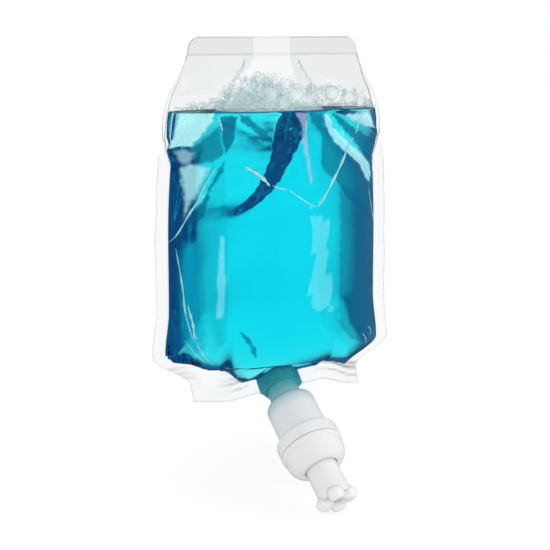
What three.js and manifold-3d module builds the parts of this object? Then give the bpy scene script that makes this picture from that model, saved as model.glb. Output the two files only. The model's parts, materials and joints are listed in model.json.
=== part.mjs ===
// Hand soap refill pack: a clear film bag of liquid soap with a foam pump welded into its bottom seam.
//
// Millimetres, +Z up, bag front facing -Y. The origin is where the neck leaves the bottom seam. The pump
// leans forward and a little to the right of it, on an axis of its own. Lengths along that axis, called
// "reach" below, are measured outwards from the origin.

import * as THREE from 'three';
import { mergeVertices } from 'three/addons/utils/BufferGeometryUtils.js';
import Module from 'manifold-3d';

const wasm = await Module();
wasm.setup();

// ---------------------------------------------------------------- driving dimensions

const GAP = 0.3; // clearance between pieces that touch
const FILM = 0.3; // thickness of the laminate film

// The bag. "Rise" is the distance up the middle of the film from the bottom seam's edge.
const SEAM = 11; // width of the bottom seam
const BEND = 11; // rise over which the film turns from the seam's lean to upright
const LEAN = THREE.MathUtils.degToRad(55); // the seam and the pump lean forward from straight down
const SWING = THREE.MathUtils.degToRad(6.5); // the pump swings to the right
const END_LEAN = THREE.MathUtils.degToRad(22); // the seam's lean at its two ends
const HELD_FLAT = 24; // half width over which the pump holds the seam at its full lean
const BAG_RISE = 227; // bottom edge to top edge
const TOP_SEAM = 10.5; // width of the top seam
const LEVEL_RISE = 183; // surface of the soap
const FROTH = 13; // height of the foam over the soap

// Half widths and depths of the bag at a few rises, each joined by a smooth curve.
const HALF_WIDTH = [
  [0, 57.5], [11, 57.5], [31, 81], [60, 78], [110, 77.3], [155, 74.5], [167, 71.5], [178, 70.3],
  [191, 67], [203, 61], [216.5, 55.5], [222, 54.5], [225.5, 52], [227, 48.5],
];
const SIDE_SEAM = [[0, 7.5], [150, 7.5], [167, 2], [227, 1.5]];
const CREASE_X = [[11, 48], [22, 42], [35, 38.5], [150, 38.5], [183, 44], [216.5, 51], [222, 50], [227, 44]];
const CREASE_Y = [
  [11, 0], [16, 9], [22, 16], [35, 23], [60, 26.5], [110, 27], [150, 24], [183, 15.5], [200, 8.5], [216.5, 0],
];
const BULGE = [
  [11, 0], [16, 2], [22, 4], [35, 6.5], [60, 8.5], [110, 9], [150, 8.5], [183, 6.5], [200, 4.5], [216.5, 0],
];
const FACET_BULGE = 0.12; // share by which the side facets stand proud of flat

// The boat-shaped foot of the fitment: half thickness at each distance from its middle.
const FOOT_STEP = 4;
const FOOT_HALF = [10.7, 10.7, 8, 3.2, 0];
const FOOT_TIP = [14.5, 0.6];

// The pump, as radii and reaches.
const NECK_R = 10.15;
const NECK_BORE = 8;
const NECK_END = 22;
const BEAD_R = 12.2;
const BEAD_START = 15.3;
const BEAD_END = 18.1;
const COLLAR_R = 15.8;
const COLLAR_START = 10.5;
const COLLAR_END = 37.9;
const RING_R = 20;
const RING_START = COLLAR_END + GAP;
const RING_END = 46.8;
const DOME_R = 18.9;
const DOME_BORE = 16.6;
const DOME_END = 62.6;
const STROKE = 11; // travel of the nozzle into the dome
const SKIRT_R = 13.6; // the ring's skirt, gripped inside the collar
const PLATE_START = 23.8; // the housing's flange, with the inlet ports
const PLATE_END = 25.8;
const LIQUID_BORE = 5.9; // the cylinder that the small piston runs in
const LIP_START = 27.3 + STROKE; // the small piston's inner end at rest
const PISTON_START = 40.5 + STROKE; // the large piston's inner edge at rest
const PISTON_R = 16.35;
const STEM_R = 4.3; // the small piston's stem, inside the large one's hub
const STEM_END = 61;
const HUB_R = 8.1; // the large piston's hub, inside the nozzle
const MOUTH_R = 2.8; // the nozzle's outlet
const MESH_R = 8;
const COARSE_MESH = 63; // reach of each screen
const FINE_MESH = 80.4;
const NOZZLE_R = 10.1;
const NOZZLE_BORE = 8.4;
const NOZZLE_START = 54.7;
const NOZZLE_END = 88.6;
const NARROWS = 82; // where the nozzle's bore starts to close
const LOBES = 4;
const LOBE_R = 5;
const LOBE_CENTRE_R = 8;
const LOBE_THICK = 8;
const LOBE_ROUNDING = 3;
const LOBE_TURN = THREE.MathUtils.degToRad(-20); // the first lobe, from the right
const LOBE_OPEN = Math.PI * 0.62; // half of the arc that each lobe shows
const SPRING_R = 8.4;
const SPRING_WIRE_R = 0.6;
const SPRING_TURNS = 7;
const SPRING_SEAT = 26.1; // where the spring's inner end rests on the housing's flange
const SPRING_HEAD = 52.5; // where its outer end meets the large piston at rest
const ROUND = 24; // sides of the turned pieces

// ---------------------------------------------------------------- curves

// Smooth curve through a few [place, value] points, with no overshoot between them.
function profile(points) {
  const n = points.length;
  const slope = points.slice(1).map(([x, y], i) => (y - points[i][1]) / (x - points[i][0]));
  const tangent = points.map((_, i) => {
    if (i === 0 || i === n - 1 || slope[i - 1] * slope[i] <= 0) return 0;
    return (2 * slope[i - 1] * slope[i]) / (slope[i - 1] + slope[i]);
  });
  return (place) => {
    if (place <= points[0][0]) return points[0][1];
    if (place >= points[n - 1][0]) return points[n - 1][1];
    const i = points.findIndex(([x]) => x > place) - 1;
    const width = points[i + 1][0] - points[i][0];
    const t = (place - points[i][0]) / width;
    const rise = points[i + 1][1] - points[i][1];
    return (
      points[i][1] +
      t * t * (3 - 2 * t) * rise +
      width * (t * (1 - t) * (1 - t) * tangent[i] - t * t * (1 - t) * tangent[i + 1])
    );
  };
}

const halfWidth = profile(HALF_WIDTH);
const sideSeam = profile(SIDE_SEAM);
const creaseX = profile(CREASE_X);
const creaseY = profile(CREASE_Y);
const bulge = profile(BULGE);
const fade = (value, from, to) => 1 - THREE.MathUtils.smoothstep(value, from, to);

// ---------------------------------------------------------------- the bag's shape

// Half thickness of the fitment's foot at a distance from its middle.
function footHalf(x) {
  const place = Math.abs(x) / FOOT_STEP;
  const i = Math.min(Math.floor(place), FOOT_HALF.length - 2);
  const t = Math.min(place - i, 1);
  return FOOT_HALF[i] * (1 - t) + FOOT_HALF[i + 1] * t;
}

// Distance of the film's middle from the bag's mid plane: flat at the side seams, a facet from the seam
// to the crease, and a bulged panel between the two creases.
function filmDepth(x, rise) {
  const flat = (GAP + FILM) / 2;
  const root = halfWidth(rise) - sideSeam(rise);
  const across = Math.abs(x);
  let depth = flat;
  if (across < creaseX(rise)) {
    depth += creaseY(rise) + bulge(rise) * (1 - (across / creaseX(rise)) ** 2);
  } else if (across < root) {
    const t = (root - across) / (root - creaseX(rise));
    depth += creaseY(rise) * (t + FACET_BULGE * Math.sin(Math.PI * t));
  }
  const foot = (footHalf(x) + GAP + FILM / 2) * fade(rise, SEAM, SEAM + BEND);
  return Math.max(depth, Math.abs(x) < FOOT_STEP * (FOOT_HALF.length - 1) + 1 ? foot : 0);
}

// A point of the bag, from its distance across, depth from the mid plane and rise. The bag stands
// upright above the bend. Below it the film curls forward, most at the middle, where the pump holds it.
function place(x, depth, rise) {
  const middle = fade(Math.abs(x), HELD_FLAT, halfWidth(0));
  const lean = END_LEAN + (LEAN - END_LEAN) * middle;
  const along = rise + x * Math.tan(SWING) * middle * fade(rise, SEAM, SEAM + 2 * BEND);
  const top = SEAM + BEND;
  const topY = SEAM * Math.sin(LEAN) + (BEND / LEAN) * (1 - Math.cos(LEAN));
  const topZ = SEAM * Math.cos(LEAN) + (BEND / LEAN) * Math.sin(LEAN);
  if (along >= top) return new THREE.Vector3(x, topY + depth, topZ + along - top);
  const turned = lean * Math.min((top - along) / BEND, 1);
  const seam = Math.max(SEAM - along, 0);
  const y = topY - (BEND / lean) * (1 - Math.cos(turned)) - seam * Math.sin(turned);
  const z = topZ - (BEND / lean) * Math.sin(turned) - seam * Math.cos(turned);
  return new THREE.Vector3(x, y + depth * Math.cos(turned), z - depth * Math.sin(turned));
}

// ---------------------------------------------------------------- solids from grids

// Closed solid between two grids of points with the same rows and columns: front faces -Y, rear faces +Y.
function slab(front, rear) {
  const rows = front.length;
  const columns = front[0].length;
  const position = [...front.flat(), ...rear.flat()].flatMap((p) => [p.x, p.y, p.z]);
  const at = (r, c, back) => back * rows * columns + r * columns + c;
  const index = [];
  const quad = (a, b, c, d) => index.push(a, b, c, a, c, d);
  for (let r = 0; r < rows - 1; r++) {
    for (let c = 0; c < columns - 1; c++) {
      quad(at(r, c, 0), at(r, c + 1, 0), at(r + 1, c + 1, 0), at(r + 1, c, 0));
      quad(at(r, c, 1), at(r + 1, c, 1), at(r + 1, c + 1, 1), at(r, c + 1, 1));
    }
    quad(at(r, 0, 1), at(r, 0, 0), at(r + 1, 0, 0), at(r + 1, 0, 1));
    quad(at(r, columns - 1, 0), at(r, columns - 1, 1), at(r + 1, columns - 1, 1), at(r + 1, columns - 1, 0));
  }
  for (let c = 0; c < columns - 1; c++) {
    quad(at(0, c, 1), at(0, c + 1, 1), at(0, c + 1, 0), at(0, c, 0));
    quad(at(rows - 1, c, 0), at(rows - 1, c + 1, 0), at(rows - 1, c + 1, 1), at(rows - 1, c, 1));
  }
  const geometry = new THREE.BufferGeometry();
  geometry.setAttribute('position', new THREE.Float32BufferAttribute(position, 3));
  geometry.setIndex(index);
  geometry.computeVertexNormals();
  return geometry;
}

// Grid of bag points: one row for each rise, one column for each x that columnsAt gives there.
function grid(rises, columnsAt, depthAt) {
  return rises.map((rise) => columnsAt(rise).map((x) => place(x, depthAt(x, rise), rise)));
}

// Evenly spaced numbers from a to b, both ends included.
const spread = (a, b, steps) => Array.from({ length: steps + 1 }, (_, i) => a + ((b - a) * i) / steps);

// The columns of one side, mirrored about the middle.
const mirrored = (half) => [...half.slice(1).reverse().map((x) => -x), ...half];

const PANEL_STEPS = 12;
const FACET_STEPS = 3;
const WEB_RISES = [
  0, 11, 13.5, 16, 19, 22, 27, 31, 38, 50, 70, 95, 120, 145, 157, 167, 175, LEVEL_RISE, LEVEL_RISE + FROTH,
  206, BAG_RISE - TOP_SEAM, 222, 225.5, BAG_RISE,
];

function webColumns(rise) {
  const root = halfWidth(rise) - sideSeam(rise);
  const panel = spread(0, creaseX(rise), PANEL_STEPS);
  const facet = spread(creaseX(rise), root, FACET_STEPS).slice(1);
  return mirrored([...panel, ...facet, halfWidth(rise)]);
}

// A sheet of points moved along its own normals, which point to -Y at the front of the bag. Thickness taken
// this way stays true where the film folds over the foot.
function offset(sheet, distance) {
  const rows = sheet.length;
  const columns = sheet[0].length;
  const index = [];
  for (let r = 0; r < rows - 1; r++) {
    for (let c = 0; c < columns - 1; c++) {
      const a = r * columns + c;
      index.push(a, a + 1, a + columns + 1, a, a + columns + 1, a + columns);
    }
  }
  const surface = new THREE.BufferGeometry().setFromPoints(sheet.flat());
  surface.setIndex(index);
  surface.computeVertexNormals();
  const normal = surface.getAttribute('normal');
  return sheet.map((row, r) =>
    row.map((point, c) =>
      new THREE.Vector3().fromBufferAttribute(normal, r * columns + c).multiplyScalar(distance).add(point),
    ),
  );
}

// One web of the bag. side is -1 at the front and 1 at the back.
function web(side) {
  const middle = grid(WEB_RISES, webColumns, (x, rise) => side * filmDepth(x, rise));
  return slab(offset(middle, FILM / 2), offset(middle, -FILM / 2));
}

// What fills the bag at the given rises, clear of the film. It ends at the sides where the bag is too thin.
function filling(rises) {
  const clear = FILM / 2 + 0.8;
  const thinnest = 0.5;
  const columns = (rise) => {
    const root = halfWidth(rise) - sideSeam(rise);
    const crease = creaseX(rise);
    const end = root - ((root - crease) * (clear + thinnest)) / creaseY(rise);
    return mirrored([...spread(0, crease, PANEL_STEPS), (crease + end) / 2, end]);
  };
  return slab(
    offset(grid(rises, columns, (x, rise) => -filmDepth(x, rise)), -clear),
    offset(grid(rises, columns, filmDepth), clear),
  );
}

// ---------------------------------------------------------------- solids from other solids

// A geometry as a manifold-3d solid.
function solid(geometry) {
  const plain = new THREE.BufferGeometry();
  plain.setAttribute('position', geometry.getAttribute('position').clone());
  if (geometry.index) plain.setIndex(geometry.index);
  const merged = mergeVertices(plain, 1e-4);
  return new wasm.Manifold(
    new wasm.Mesh({
      numProp: 3,
      vertProperties: merged.getAttribute('position').array,
      triVerts: new Uint32Array(merged.index.array),
    }),
  );
}

// A manifold-3d solid as a geometry.
function geometryOf(manifold) {
  const mesh = manifold.getMesh();
  const geometry = new THREE.BufferGeometry();
  geometry.setAttribute('position', new THREE.BufferAttribute(Float32Array.from(mesh.vertProperties), 3));
  geometry.setIndex(new THREE.BufferAttribute(Uint32Array.from(mesh.triVerts), 1));
  geometry.computeVertexNormals();
  return geometry;
}

// Turned solid from a closed outline of [radius, reach] points, its axis along -Z.
function turned(outline, sides = ROUND) {
  const points = outline.map(([r, reach]) => new THREE.Vector2(r, -reach));
  if (THREE.ShapeUtils.area(points) < 0) points.reverse();
  points.push(points[0].clone());
  return new THREE.LatheGeometry(points, sides).rotateX(Math.PI / 2);
}

// Points of a round corner from one [radius, reach] point to another, bowed outwards.
function corner([r0, reach0], [r1, reach1], steps = 4) {
  return spread(0, Math.PI / 2, steps).map((a) => [
    r1 + (r0 - r1) * Math.cos(a),
    reach0 + (reach1 - reach0) * Math.sin(a),
  ]);
}

// A pin along the pump's axis at a distance from it, for drilling.
function drill(radius, from, to, x = 0, y = 0, sides = 10) {
  const length = to - from;
  return new THREE.CylinderGeometry(radius, radius, length, sides)
    .rotateX(Math.PI / 2)
    .translate(x, y, -(from + to) / 2);
}

// A turned solid with holes drilled through it on circles: [radius, count, circle radius].
function drilled(outline, rings, from, to) {
  let body = solid(turned(outline));
  for (const [radius, count, circle] of rings) {
    for (let i = 0; i < count; i++) {
      const angle = (2 * Math.PI * i) / count;
      const hole = drill(radius, from, to, circle * Math.cos(angle), circle * Math.sin(angle), 6);
      body = body.subtract(solid(hole));
    }
  }
  return geometryOf(body);
}

// ---------------------------------------------------------------- pump pieces

// Turns a piece from straight down to the pump's axis.
const PUMP_TURN = new THREE.Euler(-LEAN, -SWING, 0);

// The neck tube with its snap bead, joined to the foot that is welded between the webs.
function spoutFitment() {
  const tube = turned([
    [NECK_BORE, -SEAM / 2], [NECK_R, -SEAM / 2], [NECK_R, BEAD_START], [BEAD_R, BEAD_START + 1.1],
    [BEAD_R, BEAD_END], [NECK_R, BEAD_END], [NECK_R, NECK_END], [NECK_BORE, NECK_END],
  ]).applyMatrix4(new THREE.Matrix4().makeRotationFromEuler(PUMP_TURN));
  const foot = mirrored([...spread(0, FOOT_STEP * 3, 3), FOOT_TIP[0]]);
  const half = (x) => (Math.abs(x) < FOOT_TIP[0] ? footHalf(x) : FOOT_TIP[1]);
  const rises = [0.4, SEAM - 1.6];
  const boat = slab(
    grid(rises, () => foot, (x) => -half(x)),
    grid(rises, () => foot, half),
  );
  const bore = drill(NECK_BORE, -SEAM - 4, 2, 0, 0, ROUND).applyMatrix4(
    new THREE.Matrix4().makeRotationFromEuler(PUMP_TURN),
  );
  return geometryOf(solid(tube).add(solid(boat)).subtract(solid(bore)));
}

// The soap: the filled bag up to its level, joined to the plug of soap in the neck.
function soap() {
  const rises = WEB_RISES.filter((rise) => rise > SEAM && rise <= LEVEL_RISE);
  const plug = drill(NECK_BORE - 0.4, -14, 21.2, 0, 0, ROUND).applyMatrix4(
    new THREE.Matrix4().makeRotationFromEuler(PUMP_TURN),
  );
  return geometryOf(solid(filling(rises)).add(solid(plug)));
}

function neckGasket() {
  return turned([[8.3, 22.3], [11.6, 22.3], [11.6, 23.5], [8.3, 23.5]]);
}

// Snap collar: its top plate and inner hook hold the neck's bead, its lower bead holds the ring's skirt.
function collar() {
  return turned([
    [10.7, COLLAR_START], ...corner([11.2, COLLAR_START], [COLLAR_R, 16]).slice(0, -1), [COLLAR_R, 16],
    [COLLAR_R, COLLAR_END - 0.6], [COLLAR_R - 0.5, COLLAR_END], [14, COLLAR_END], [14, 36],
    [13.3, 35.5], [13.3, 34.5], [14, 34], [14, 20.4], [10.8, 20.4], [10.8, BEAD_END + 0.4],
    [13.6, BEAD_END + 0.4], [13.6, 14], [12.4, 12.3], [10.7, 12.3],
  ]);
}

// Flange with the inlet ports, and the liquid cylinder that the small piston runs in.
function pumpHousing() {
  return drilled(
    [
      [0, PLATE_START], [13.2, PLATE_START], [13.2, PLATE_END], [7.2, PLATE_END], [7.2, 41.2],
      [LIQUID_BORE, 41.2], [LIQUID_BORE, PLATE_END], [0, PLATE_END],
    ],
    [[1.5, 1, 0], [1, 6, 3.6]],
    PLATE_START - 1, PLATE_END + 1,
  );
}

// Umbrella valve: a thin soft disc over the ports, on a stalk with a retaining bulb.
function inletValve() {
  const disc = PLATE_END + GAP;
  return turned([
    [0, 21.6], [1.2, 21.8], [1.9, PLATE_START - 0.4], [1.2, PLATE_START - 0.4], [1.2, disc],
    [5.2, disc + 0.1], [5.2, disc + 0.5], [1.6, disc + 0.9], [0, disc + 0.9],
  ], 16);
}

// Upper half of the air chamber: a skirt inside the collar, a plate and the wide outer ring.
function airCylinder() {
  return turned([
    [12, PLATE_END + GAP], [SKIRT_R, PLATE_END + GAP], [SKIRT_R, 33.4], [12.9, 33.8], [12.9, 36.2],
    [SKIRT_R, 36.6], [SKIRT_R, RING_START],
    ...corner([RING_R - 1.4, RING_START], [RING_R, RING_START + 1.4], 3),
    [RING_R, RING_END - 0.5], [RING_R - 0.5, RING_END], [18.4, RING_END], [18.4, 40], [12, 40],
  ]);
}

// Lower half of the air chamber: snapped into the ring, with a lip, a rounded dome and the nozzle's hole.
function domeShell() {
  const lip = RING_END + GAP;
  return turned([
    [DOME_BORE, 40.4], [18.1, 40.4], [18.1, lip], [RING_R - 0.5, lip], [RING_R, lip + 0.5],
    [RING_R, lip + 2.9], [RING_R - 0.4, lip + 3.3], [DOME_R, lip + 3.4],
    ...corner([DOME_R, 53], [14.6, DOME_END], 6),
    [10.9, DOME_END], [10.6, DOME_END - 0.3], [10.6, 60.9], [13, 60.9], [DOME_BORE, 58],
  ]);
}

class Helix extends THREE.Curve {
  constructor(radius, from, to, turns) {
    super();
    Object.assign(this, { radius, from, to, turns });
  }

  getPoint(t, target = new THREE.Vector3()) {
    const angle = 2 * Math.PI * this.turns * t;
    const reach = this.from + (this.to - this.from) * t;
    return target.set(this.radius * Math.cos(angle), this.radius * Math.sin(angle), -reach);
  }
}

function returnSpring() {
  const wire = new THREE.Shape();
  wire.absarc(0, 0, SPRING_WIRE_R, 0, 2 * Math.PI);
  return new THREE.ExtrudeGeometry(wire, {
    steps: SPRING_TURNS * 14,
    curveSegments: 3,
    extrudePath: new Helix(
      SPRING_R, SPRING_SEAT + SPRING_WIRE_R * 1.5, SPRING_HEAD - SPRING_WIRE_R * 1.5, SPRING_TURNS,
    ),
  });
}

// Hollow stem with the lip that runs in the liquid cylinder, and a pocket for the outlet ball.
function liquidPiston() {
  return turned([
    [1.6, LIP_START], [5.3, LIP_START], [5.7, LIP_START + 0.5], [5.7, LIP_START + 2.3],
    [STEM_R, LIP_START + 2.6], [STEM_R, STEM_END], [2.9, STEM_END], [2.9, STEM_END - 4],
    [1.6, STEM_END - 5.2],
  ], 20);
}

function outletValve() {
  return new THREE.SphereGeometry(2.3, 14, 8).translate(0, 0, 2.2 - STEM_END);
}

// Large piston: a disc with a double lip at its rim, air ports, and a hub that the nozzle fits over.
function airPiston() {
  return drilled(
    [
      [STEM_R + GAP, 52.8], [14.2, 52.8], [15.4, 51.8], [PISTON_R, PISTON_START], [PISTON_R, 52.2],
      [15.6, 53.6], [PISTON_R, 55.6], [PISTON_R, 56.2], [15.4, 56], [14.2, 54.4], [HUB_R, 54.4],
      [HUB_R, 60], [STEM_R + GAP, 60],
    ],
    [[0.9, 6, 12]],
    52, 55,
  );
}

function airValve() {
  return turned([[10.5, 54.7], [13.6, 54.8], [13.6, 55.2], [10.5, 55.3]]);
}

// Outlet tube that closes to a round mouth, with the four-lobed flange at its end.
function nozzle() {
  const tube = turned([
    [NOZZLE_BORE, NOZZLE_START], [NOZZLE_R, NOZZLE_START], [NOZZLE_R, NOZZLE_END - LOBE_THICK / 2],
    [MOUTH_R, NOZZLE_END - LOBE_THICK / 2], [NOZZLE_BORE, NARROWS],
  ]);
  const clover = new THREE.Shape();
  for (let i = 0; i < LOBES; i++) {
    const angle = LOBE_TURN + (2 * Math.PI * i) / LOBES;
    const x = LOBE_CENTRE_R * Math.cos(angle);
    const y = LOBE_CENTRE_R * Math.sin(angle);
    clover.absarc(x, y, LOBE_R, angle - LOBE_OPEN, angle + LOBE_OPEN);
  }
  clover.closePath();
  const flange = new THREE.ExtrudeGeometry(clover, {
    depth: LOBE_THICK - 2 * LOBE_ROUNDING,
    curveSegments: 8,
    bevelThickness: LOBE_ROUNDING,
    bevelSize: LOBE_ROUNDING,
    bevelOffset: -LOBE_ROUNDING,
    bevelSegments: 3,
  }).translate(0, 0, -NOZZLE_END + LOBE_ROUNDING);
  const mouth = drill(MOUTH_R, NOZZLE_END - LOBE_THICK - 1, NOZZLE_END + 1, 0, 0, ROUND);
  const bore = drill(NOZZLE_BORE, NOZZLE_START + 1, NARROWS, 0, 0, ROUND);
  return geometryOf(solid(tube).add(solid(flange)).subtract(solid(mouth)).subtract(solid(bore)));
}

function screenHolder() {
  return turned([[7, 64], [HUB_R, 64], [HUB_R, 80], [7, 80]]);
}

// A mesh disc, its openings shown by rings of small holes.
function screen(reach) {
  return drilled(
    [[0, reach], [MESH_R, reach], [MESH_R, reach + 0.4], [0, reach + 0.4]],
    [[0.8, 1, 0], [0.8, 6, 2.6], [0.8, 10, 5.4]],
    reach - 1, reach + 1.4,
  );
}

// ---------------------------------------------------------------- scene graph

const FINISHES = {
  film: { color: 0xeaf2f5, roughness: 0.08, transparent: true, opacity: 0.3 },
  soap: { color: 0x0aa7c4, roughness: 0.05, transparent: true, opacity: 0.85 },
  foam: { color: 0xdfeeee, roughness: 0.5, transparent: true, opacity: 0.7 },
  milky: { color: 0xdfe6e8, roughness: 0.4, transparent: true, opacity: 0.85 },
  white: { color: 0xf2f4f5, roughness: 0.35 },
  soft: { color: 0xe8ecea, roughness: 0.6 },
  steel: { color: 0xb9bec2, roughness: 0.3, metalness: 1 },
  mesh: { color: 0xd8dcdc, roughness: 0.7 },
};

function piece(name, geometry, finish) {
  const mesh = new THREE.Mesh(geometry, new THREE.MeshStandardMaterial(FINISHES[finish]));
  mesh.name = name;
  return mesh;
}

const bag = new THREE.Group();
bag.add(
  piece('front_film', web(-1), 'film'),
  piece('back_film', web(1), 'film'),
  piece('liquid_soap', soap(), 'soap'),
  piece('foam_head', filling([LEVEL_RISE + GAP, LEVEL_RISE + FROTH]), 'foam'),
  piece('spout_fitment', spoutFitment(), 'milky'),
);

const pumpBody = new THREE.Group();
pumpBody.add(
  piece('neck_gasket', neckGasket(), 'soft'),
  piece('collar', collar(), 'milky'),
  piece('pump_housing', pumpHousing(), 'milky'),
  piece('inlet_valve', inletValve(), 'soft'),
  piece('air_cylinder', airCylinder(), 'white'),
  piece('dome_shell', domeShell(), 'white'),
  piece('return_spring', returnSpring(), 'steel'),
);

const plunger = new THREE.Group();
plunger.add(
  piece('liquid_piston', liquidPiston(), 'milky'),
  piece('outlet_valve', outletValve(), 'steel'),
  piece('air_piston', airPiston(), 'white'),
  piece('air_valve', airValve(), 'soft'),
  piece('nozzle', nozzle(), 'white'),
  piece('screen_holder', screenHolder(), 'white'),
  piece('coarse_screen', screen(COARSE_MESH), 'mesh'),
  piece('fine_screen', screen(FINE_MESH), 'mesh'),
);

const pump = new THREE.Group();
pump.rotation.copy(PUMP_TURN);
pump.add(pumpBody, plunger);

const refillPack = new THREE.Group();
refillPack.name = 'hand_soap_refill_pack';
refillPack.add(bag, pump);

export default refillPack;
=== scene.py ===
# %% [markdown]
# # Hand soap refill pack
# A clear film bag of blue-green liquid soap hangs nose down in a wall dispenser. A foam pump is snapped
# to the neck that is welded into the bag's bottom seam. This lesson takes the measured model as a fixed
# frame and makes everything the eye lands on: creased film, refractive soap, froth, seams and moulded
# plastic.

# %% Load the frame
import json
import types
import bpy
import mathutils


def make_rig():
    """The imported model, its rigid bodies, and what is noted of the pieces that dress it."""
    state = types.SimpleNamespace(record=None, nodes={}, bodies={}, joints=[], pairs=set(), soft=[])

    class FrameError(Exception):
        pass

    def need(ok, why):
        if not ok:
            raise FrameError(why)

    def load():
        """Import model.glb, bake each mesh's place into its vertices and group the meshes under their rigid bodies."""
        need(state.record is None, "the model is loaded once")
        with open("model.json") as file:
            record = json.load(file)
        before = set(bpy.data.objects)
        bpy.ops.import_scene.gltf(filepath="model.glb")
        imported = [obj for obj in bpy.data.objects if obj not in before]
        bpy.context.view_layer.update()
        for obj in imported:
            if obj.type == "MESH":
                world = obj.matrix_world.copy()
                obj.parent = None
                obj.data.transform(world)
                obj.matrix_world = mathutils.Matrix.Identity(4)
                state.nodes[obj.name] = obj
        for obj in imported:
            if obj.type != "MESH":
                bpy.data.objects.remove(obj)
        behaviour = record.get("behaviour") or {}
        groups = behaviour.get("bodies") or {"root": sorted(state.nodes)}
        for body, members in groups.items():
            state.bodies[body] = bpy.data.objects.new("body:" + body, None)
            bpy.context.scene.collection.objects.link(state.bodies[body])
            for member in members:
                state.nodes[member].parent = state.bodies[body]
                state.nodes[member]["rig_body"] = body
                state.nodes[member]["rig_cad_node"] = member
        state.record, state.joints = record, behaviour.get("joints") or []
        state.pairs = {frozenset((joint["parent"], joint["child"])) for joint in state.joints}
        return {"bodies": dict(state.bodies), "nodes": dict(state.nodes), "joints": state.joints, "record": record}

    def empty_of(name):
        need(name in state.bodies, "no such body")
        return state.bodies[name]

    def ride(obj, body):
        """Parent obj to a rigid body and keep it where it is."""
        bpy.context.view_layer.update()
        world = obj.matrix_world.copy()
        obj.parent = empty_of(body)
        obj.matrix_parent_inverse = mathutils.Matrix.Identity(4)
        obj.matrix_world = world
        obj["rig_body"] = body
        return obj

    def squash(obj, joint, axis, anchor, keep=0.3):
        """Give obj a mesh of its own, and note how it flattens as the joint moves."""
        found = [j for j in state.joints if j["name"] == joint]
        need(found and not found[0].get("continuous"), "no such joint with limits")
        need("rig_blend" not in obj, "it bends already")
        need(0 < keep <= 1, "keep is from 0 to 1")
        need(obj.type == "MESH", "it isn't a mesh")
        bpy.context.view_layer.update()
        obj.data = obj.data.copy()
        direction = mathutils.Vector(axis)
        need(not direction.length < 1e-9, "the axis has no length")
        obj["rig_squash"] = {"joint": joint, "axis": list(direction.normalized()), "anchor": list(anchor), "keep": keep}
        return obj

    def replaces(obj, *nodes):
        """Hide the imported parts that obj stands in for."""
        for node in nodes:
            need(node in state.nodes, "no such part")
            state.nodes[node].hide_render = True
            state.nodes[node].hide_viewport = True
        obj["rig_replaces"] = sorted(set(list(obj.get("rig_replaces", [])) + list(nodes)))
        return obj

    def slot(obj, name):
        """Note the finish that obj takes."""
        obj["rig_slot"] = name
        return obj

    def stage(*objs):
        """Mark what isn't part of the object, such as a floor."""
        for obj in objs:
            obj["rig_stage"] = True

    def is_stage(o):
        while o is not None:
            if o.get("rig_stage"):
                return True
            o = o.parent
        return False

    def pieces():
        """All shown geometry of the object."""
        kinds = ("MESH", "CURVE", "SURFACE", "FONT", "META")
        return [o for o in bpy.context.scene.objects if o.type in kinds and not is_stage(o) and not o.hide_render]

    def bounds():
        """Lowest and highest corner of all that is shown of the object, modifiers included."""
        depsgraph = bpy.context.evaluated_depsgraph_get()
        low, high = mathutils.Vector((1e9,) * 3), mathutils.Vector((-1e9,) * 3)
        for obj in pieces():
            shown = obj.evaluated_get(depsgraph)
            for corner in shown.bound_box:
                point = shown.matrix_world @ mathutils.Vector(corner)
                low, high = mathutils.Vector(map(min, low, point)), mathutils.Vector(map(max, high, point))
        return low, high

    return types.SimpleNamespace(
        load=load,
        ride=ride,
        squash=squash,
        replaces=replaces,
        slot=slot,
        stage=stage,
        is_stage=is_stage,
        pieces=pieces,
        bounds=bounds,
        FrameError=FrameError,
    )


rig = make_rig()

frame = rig.load()

import json
import math

import bpy
import numpy as np
from mathutils import Matrix, Vector

cad_box = [list(corner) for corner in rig.bounds()]
MM = 0.001
print("bodies:", list(frame["bodies"]), "pieces:", len(frame["nodes"]))

# %% [markdown]
# ## Camera first
# The camera stands a little left of the bag's front and a little above it, with a 70 mm lens, so that the
# bag's left side facet shows. It aims at the middle of the pack.

# %% Camera
AIM = np.array([0.5, 13.9, 71.7])
AZIMUTH, ELEVATION, DISTANCE = math.radians(-20), math.radians(13), 683.0
towards_camera = np.array([
    math.sin(AZIMUTH) * math.cos(ELEVATION),
    -math.cos(AZIMUTH) * math.cos(ELEVATION),
    math.sin(ELEVATION),
])
camera_data = bpy.data.cameras.new("camera")
camera_data.lens = 69.85
camera_data.sensor_width = 36
camera_data.clip_start = 0.01
camera = bpy.data.objects.new("camera", camera_data)
bpy.context.scene.collection.objects.link(camera)
camera.location = (AIM + towards_camera * DISTANCE) * MM
camera.rotation_euler = Vector(-towards_camera).to_track_quat("-Z", "Y").to_euler()
bpy.context.scene.camera = camera
print("camera at", [round(v, 3) for v in camera.location])

# %% [markdown]
# ## Helpers for surfaces
# Every new piece is a grid of points worked out as whole arrays: one parameter runs along the rows, the
# other along the columns. `smooth_curve` joins a few measured places with a curve that never overshoots,
# and `mesh_piece` hands the finished arrays to Blender in one go.

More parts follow.
